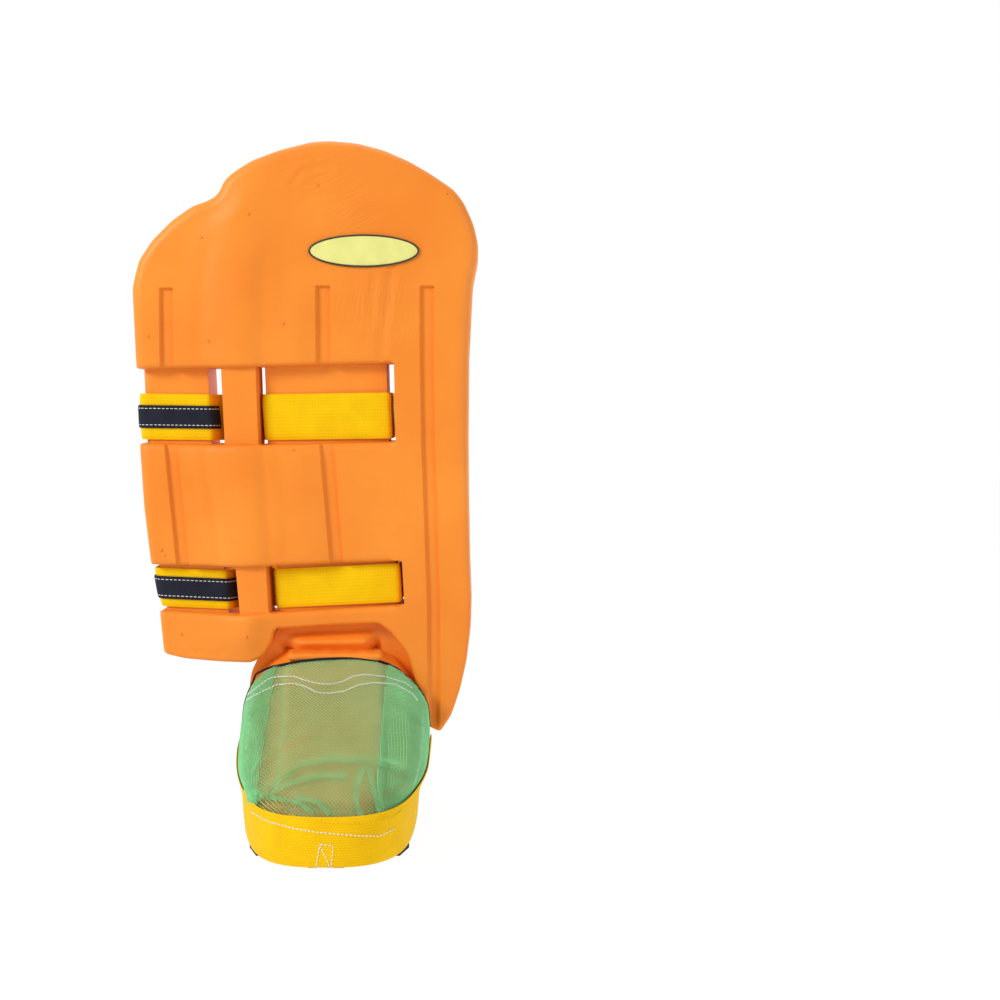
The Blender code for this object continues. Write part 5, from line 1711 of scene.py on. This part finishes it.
    def band(self, shop: Workshop) -> BVHTree:
        """The yellow webbing: lines of places across it, each on the foot guard's outline at its height."""
        foot = self.foot
        count = 260
        base = foot.cover_offset + 2.7 * MM
        lead = foot.outline(0.2, base, foot.cover_end_y, count, rib=False)
        height = foot.band_middle(lead[:, 1])
        ends = np.concatenate([np.linspace(-1, 1, 13), np.linspace(1, -1, 13)[1:-1]])
        side = np.concatenate([np.zeros(13), np.ones(11)])
        bulge = np.sqrt(np.clip(1 - np.abs(ends) ** 9, 0, 1))
        shares = np.linspace(0.0, 0.6, 61)
        table = np.stack(
            [
                foot.outline(
                    max(share, 0.12),
                    base + float(foot.puffed(share)),
                    foot.cover_end_y,
                    count,
                    rib=False,
                )
                for share in shares
            ]
        )
        step = np.gradient(lead, axis=0)
        normal = unit(np.stack([step[:, 1], -step[:, 0]], axis=1))
        normal *= np.sign((normal * (lead - np.array([foot.centre_x, -20 * MM]))).sum(axis=1))[:, None]
        rings = np.empty((count, len(ends), 3))
        every = np.arange(count)
        for k, (end, way, full) in enumerate(zip(ends, side, bulge)):
            z = height + end * 20 * MM
            at = np.clip(z / foot.height / 0.01, 0, 59.999)
            low = at.astype(int)
            part = (at - low)[:, None]
            flat = table[low, every] * (1 - part) + table[low + 1, every] * part
            depth = self.band_thickness * (0.5 + (way - 0.5) * full)
            wave = 0.35 * MM * np.sin(every / 9.0) * np.sin(every / 23.0 + 1.0)
            rings[:, k, :2] = flat + normal * (depth + wave)[:, None]
            rings[:, k, 2] = z
        points, faces = tube(rings, closed=False)
        along = np.repeat(arc_length(lead), len(ends))
        across = np.tile(ends * 20 * MM, count)
        uv = np.concatenate([np.stack([along, across], axis=1), np.zeros((2, 2))])
        band = shop.piece("toe_band_webbing", points, faces, WEBBING, uv, ("toe_band",))
        return search_tree(points, faces)

    def seams(self, shop: Workshop, cover: BVHTree, band: BVHTree) -> None:
        """The white seams on the net and the yellow webbing's own seams, along lines of the picture."""
        rows = []
        for pixels in NET_SEAMS:
            path, normals = VIEW.cast(cover, pixels)
            rows.append(stitch_row(path + normals * 1.5 * MM, normals, 2.5 * MM, 0.8 * MM, 0.60 * MM))
        add_stitches(shop, "net_stitches", rows, WHITE_YARN)
        for name, lines, finish in (
            ("band_edge_stitches", BAND_SEAMS[:1], YELLOW_YARN),
            ("band_stitches", BAND_SEAMS[1:], WHITE_YARN),
        ):
            rows = []
            for pixels in lines:
                path, normals = VIEW.cast(band, pixels)
                rows.append(stitch_row(path + normals * 0.15 * MM, normals, 2.4 * MM, 0.9 * MM, 0.42 * MM))
            add_stitches(shop, name, rows, finish)


# The cover's hem as a line of the picture's pixels
HEM = (
    (244, 684), (248, 679), (257, 674), (270, 668), (285, 665), (300, 662), (320, 660), (340, 659),
    (358, 659), (375, 661), (386, 664), (395, 668), (404, 675), (411, 682),
)

# Seams as lines of the picture's pixels
NET_SEAMS = (
    (
        (243, 700), (257, 690), (270, 680), (281, 678), (294, 678), (305, 682), (317, 685), (329, 686),
        (341, 684), (353, 678), (364, 676), (384, 678), (404, 684), (413, 691),
    ),
    (
        (238, 707), (257, 696), (278, 686), (293, 685), (305, 688), (317, 694), (329, 695), (344, 693),
        (357, 687), (375, 684), (395, 686), (411, 695), (417, 703),
    ),
)
BAND_SEAMS = (
    ((248, 797), (267, 807), (302, 819), (330, 823), (372, 823), (393, 817), (404, 808)),
    ((252, 812), (267, 821), (292, 828), (315, 832), (337, 834), (362, 836), (379, 836), (396, 828)),
    ((320, 844), (333, 846), (331, 868), (316, 867), (320, 844)),
    ((320, 845), (330, 867)),
)


# Pimples of the skin, as pixels of the picture
PIMPLES = (
    (201, 237), (283, 323), (208, 341), (148, 336), (317, 185), (248, 214),
    (181, 634), (246, 637), (161, 550), (293, 450),
)

# The arch's web: pixels of its outer and inner edge, and how far behind the pad's front (mm) each is
WEB = np.array(
    [
        (249, 694, 270, 694, 24, 24),
        (250, 682, 270, 684, 22, 22),
        (252, 671, 270, 674, 18, 20),
        (257, 660, 273, 665, 14, 18),
        (263, 649, 279, 657, 13, 16),
        (267, 636, 286, 652, 14, 15),
        (275, 625, 295, 650, 15, 11),
        (300, 622, 304, 650, 15, 9),
        (340, 619, 340, 650, 15, 9),
        (366, 617, 362, 650, 15, 9),
        (382, 617, 371, 650, 15, 11),
        (391, 627, 379, 652, 14, 15),
        (399, 637, 388, 656, 14, 17),
        (408, 650, 397, 664, 14, 19),
        (414, 667, 404, 676, 16, 21),
        (418, 683, 410, 690, 20, 23),
        (423, 700, 415, 706, 24, 24),
    ],
    float,
)


@dataclass
class Trim:
    """The web over the arch with its lip, the foot guard's tongue, the pimples and the oval plate."""

    pad: PadShape
    web_thickness: float = 7 * MM

    def build(self, shop: Workshop, skin: BVHTree) -> None:
        """Makes the web with its lip, the foot guard's tongue, the skin's pimples and the plate."""
        self.web(shop)
        self.tongue(shop)
        self.pimples(shop, skin)
        self.plate(shop)

    def tongue(self, shop: Workshop) -> None:
        """A slab with round edges, |a|^3 + |b|^3 = 1 in section, narrowing over its last 7 mm."""
        ends = VIEW.on_plane(((285, 655), (381, 655)), -12 * MM)[:, 0]
        run = np.linspace(0, 1, 60)
        x = ends[0] + (ends[1] - ends[0]) * run
        edge = np.clip(np.minimum(x - ends[0], ends[1] - x) / (7 * MM), 0, 1)
        size = np.maximum(1 - (1 - edge) ** 3, 1e-4) ** (1 / 3)
        turns = np.linspace(0, 2 * math.pi, 40, endpoint=False)
        power = 2 / 3
        deep = np.sign(np.cos(turns)) * np.abs(np.cos(turns)) ** power
        high = np.sign(np.sin(turns)) * np.abs(np.sin(turns)) ** power
        y = 16 * MM + 14 * MM * deep[None, :] * (0.6 + 0.4 * size[:, None])
        z = 145.4 * MM + 4.2 * MM * high[None, :] * size[:, None]
        z = z + 0.3 * MM * np.sin(x / (2.6 * MM) + 0.8)[:, None] * (high[None, :] > 0.5)
        points, faces = tube(np.stack([np.broadcast_to(x[:, None], y.shape), y, z], axis=2), closed=False)
        slab = shop.piece("foot_guard_tongue", points, faces, FOAM)

    def pimples(self, shop: Workshop, skin: BVHTree) -> None:
        """Small round lumps that stand on the skin: a half circle of 1.5 mm radius turned round."""
        turns = np.linspace(0, 2 * math.pi, 12, endpoint=False)
        points, faces, start = [], [], 0
        for pixel in PIMPLES:
            spots, normals = VIEW.cast(skin, (pixel, (pixel[0] + 0.5, pixel[1])))
            out = unit(normals[0])
            side = unit(np.cross(out, (0.0, 0.0, 1.0)))
            other = np.cross(side, out)
            circle = np.outer(np.cos(turns), side) + np.outer(np.sin(turns), other)
            rings = [
                spots[0] + out * lift * MM + radius * MM * circle
                for radius, lift in ((1.7, -0.4), (1.5, 0.1), (1.15, 0.6), (0.6, 0.95), (0.1, 1.05))
            ]
            one, quads = tube(np.array(rings), closed=False)
            points.append(one)
            faces.append(quads + start)
            start += len(one)
        shop.piece("skin_pimples", np.concatenate(points), np.concatenate(faces), FOAM)

    def web(self, shop: Workshop) -> None:
        """A curved wall from the arch's edge in to its lip.

        The lip swells forward by 7 mm exp(-((v - 0.74) / 0.2)^2) at the share v of the way in, and the
        hollow behind each end of the lip is a bell curve 9 mm deep.
        """
        run = arc_length(WEB[:, :2] + WEB[:, 2:4])
        even = np.linspace(0, run[-1], 150)
        table = np.stack([np.interp(even, run, WEB[:, k]) for k in range(6)], axis=1)
        table = gaussian_line(table, even, 6.0)
        middle = np.clip((table[:, 0] - 276) / 22, 0, 1) * np.clip((388 - table[:, 0]) / 22, 0, 1)
        roll = smooth_step(middle)[:, None]
        share = np.concatenate([np.linspace(0, 1, 26), np.ones(7), np.linspace(1, 0, 12)])[None, :]
        turn = np.concatenate([np.zeros(26), np.linspace(0, math.pi, 9)[1:-1], np.full(12, math.pi)])[None, :]
        depth = table[:, 4:5] * (1 - share) + table[:, 5:6] * share
        front = turn < 0.01
        hump = 7 * roll * np.exp(-(((share - 0.74) / 0.20) ** 2))
        swell = hump - 3 * roll * np.exp(-(((share - 0.35) / 0.16) ** 2))
        inner = table[:, 2:3]
        pits = np.exp(-(((inner - 290) / 4.0) ** 2)) + np.exp(-(((inner - 374) / 4.0) ** 2))
        swell = swell - 9 * pits * np.exp(-(((share - 1.0) / 0.35) ** 2))
        half = self.web_thickness / 2
        out = half * np.sin(turn) / (0.867 * MM)
        way = unit(table[:, 2:4] - table[:, 0:2])
        pixels = table[:, None, 0:2] * (1 - share[..., None]) + table[:, None, 2:4] * share[..., None]
        pixels = pixels + way[:, None, :] * out[..., None]
        y = self.pad.front_y + (depth - swell * front) * MM + half * (1 - np.cos(turn))
        points = VIEW.on_plane(pixels.reshape(-1, 2), y.reshape(-1))
        rings = points.reshape(*y.shape, 3)
        points, faces = tube(rings, closed=False)
        web = shop.piece("arch_web", points, faces, FOAM)

    def plate(self, shop: Workshop) -> None:
        """A slightly domed oval, 1 - r^4 high, on the knee panel, and its dark rim."""
        low, high = (np.array(corner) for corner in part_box("badge_plate"))
        middle = (low + high) / 2
        turns = np.linspace(0, 2 * math.pi, 96, endpoint=False)
        radii = np.concatenate([[1.0, 1.0], np.linspace(0.985, 0.05, 14)])
        depth = np.concatenate([[0.0, 0.5], 0.55 + 0.45 * (1 - radii[2:] ** 4)])
        half_x, half_z, thick = 46.6 * MM, 12.9 * MM, 2.0 * MM
        rim_x, rim_z, rim_down = 47.0 * MM, 13.3 * MM, 0.9 * MM
        rings = np.stack(
            [
                np.stack(
                    [
                        middle[0] + half_x * radius * np.cos(turns),
                        np.full(len(turns), high[1] - thick * deep),
                        middle[2] + half_z * radius * np.sin(turns),
                    ],
                    axis=1,
                )
                for radius, deep in zip(radii, depth)
            ]
        )
        points, faces = tube(rings, closed=False)
        shop.piece("oval_plate", points, faces, PLATE, None, ("badge_plate",))
        around = np.linspace(0, 2 * math.pi, 10, endpoint=False)
        line = np.stack(
            [
                middle[0] + rim_x * np.cos(turns),
                np.full(len(turns), high[1] - rim_down),
                middle[2] + rim_z * np.sin(turns),
            ],
            axis=1,
        )
        out = unit(np.stack([np.cos(turns) / 47, 0 * turns, np.sin(turns) / 13.3], axis=1))
        rim = line[:, None] + (
            np.cos(around)[None, :, None] * out[:, None] * 0.8 * MM
            + np.sin(around)[None, :, None] * np.array([0, 1.0, 0]) * 0.9 * MM
        )
        points, faces = tube(rim, closed=True)
        shop.piece("oval_plate_rim", points, faces, PLATE_RIM)


@dataclass
class Studio:
    """A white floor, a surround that is bright behind the object, and soft lights."""

    size: float = 14.0

    def build(self) -> None:
        """Adds the floor, the world's light and three large lamps."""
        mesh = bpy.data.meshes.new("floor")
        half = self.size / 2
        corners = [(-half, -half, 0), (half, -half, 0), (half, half, 0), (-half, half, 0)]
        mesh.from_pydata(corners, [], [(0, 1, 2, 3)])
        floor = bpy.data.objects.new("floor", mesh)
        bpy.context.scene.collection.objects.link(floor)
        mesh.materials.append(self.floor_material())
        self.world()
        bpy.context.scene.view_settings.view_transform = "Standard"
        self.lamp("key", (-1.8, -1.4, 1.6), (0.0, 0.0, 0.32), 0.8, 46)
        self.lamp("fill", (1.9, -1.4, 0.9), (0.0, 0.0, 0.3), 1.6, 15)
        self.lamp("top", (0.0, 0.5, 2.4), (0.0, 0.0, 0.3), 1.4, 12)

    def floor_material(self) -> bpy.types.Material:
        """Mostly light of its own, less of it in front of the object, so that it stays white behind."""
        finish = Finish("white floor")
        finish.shader.inputs["Base Color"].default_value = (0.08, 0.08, 0.08, 1)
        finish.shader.inputs["Emission Color"].default_value = (1, 1, 1, 1)
        finish.shine(0.9, 0.0)
        split = finish.node("SeparateXYZ")
        finish.join(finish.place(), split.inputs[0])
        light = finish.node("MapRange", in_From_Min=-1.1, in_From_Max=-0.55, in_To_Min=0.40, in_To_Max=0.95)
        finish.join(split.outputs["Y"], light.inputs["Value"])
        finish.join(light.outputs[0], finish.shader.inputs["Emission Strength"])
        return finish.material

    def world(self) -> None:
        """Light from all round: white from behind the object, dimmer from the front."""
        world = bpy.data.worlds.new("studio")
        world.use_nodes = True
        nodes, links = world.node_tree.nodes, world.node_tree.links
        place = nodes.new("ShaderNodeTexCoord")
        split = nodes.new("ShaderNodeSeparateXYZ")
        strength = nodes.new("ShaderNodeMapRange")
        for name, value in (("From Min", 0.0), ("From Max", 0.6), ("To Min", 0.42), ("To Max", 1.0)):
            strength.inputs[name].default_value = value
        links.new(place.outputs["Generated"], split.inputs[0])
        links.new(split.outputs["Y"], strength.inputs["Value"])
        links.new(strength.outputs[0], nodes["Background"].inputs["Strength"])
        nodes["Background"].inputs["Color"].default_value = (1, 1, 1, 1)
        bpy.context.scene.world = world

    def lamp(self, name: str, place: tuple, aim: tuple, size: float, power: float) -> None:
        """A square lamp at a place, turned to what it lights."""
        data = bpy.data.lights.new(name, "AREA")
        data.size = size
        data.energy = power
        lamp = bpy.data.objects.new(name, data)
        lamp.location = place
        lamp.rotation_euler = (Vector(aim) - Vector(place)).to_track_quat("-Z", "Y").to_euler()
        bpy.context.scene.collection.objects.link(lamp)


def main() -> None:
    """Builds the guard's pieces in order, then the studio and the camera."""
    logging.basicConfig(level=logging.INFO, format="%(name)s: %(message)s")
    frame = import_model()
    shop = Workshop()
    VIEW.build()
    pad = PadShape()
    points, faces = pad.mesh()
    shell = shop.piece("pad_foam", points, faces, FOAM, None, ("pad_shell",))
    Trim(pad).build(shop, search_tree(points, faces))
    Straps(pad).build(shop)
    FootDress(FootShape()).build(shop)
    for name in ("sole_cross_strap", "sole_toe_strap"):
        node = frame["nodes"][name]
        node.data.materials.clear()
        node.data.materials.append(shop.material(SOLE_WEB))
    Studio().build()


if __name__ == "__main__":
    main()
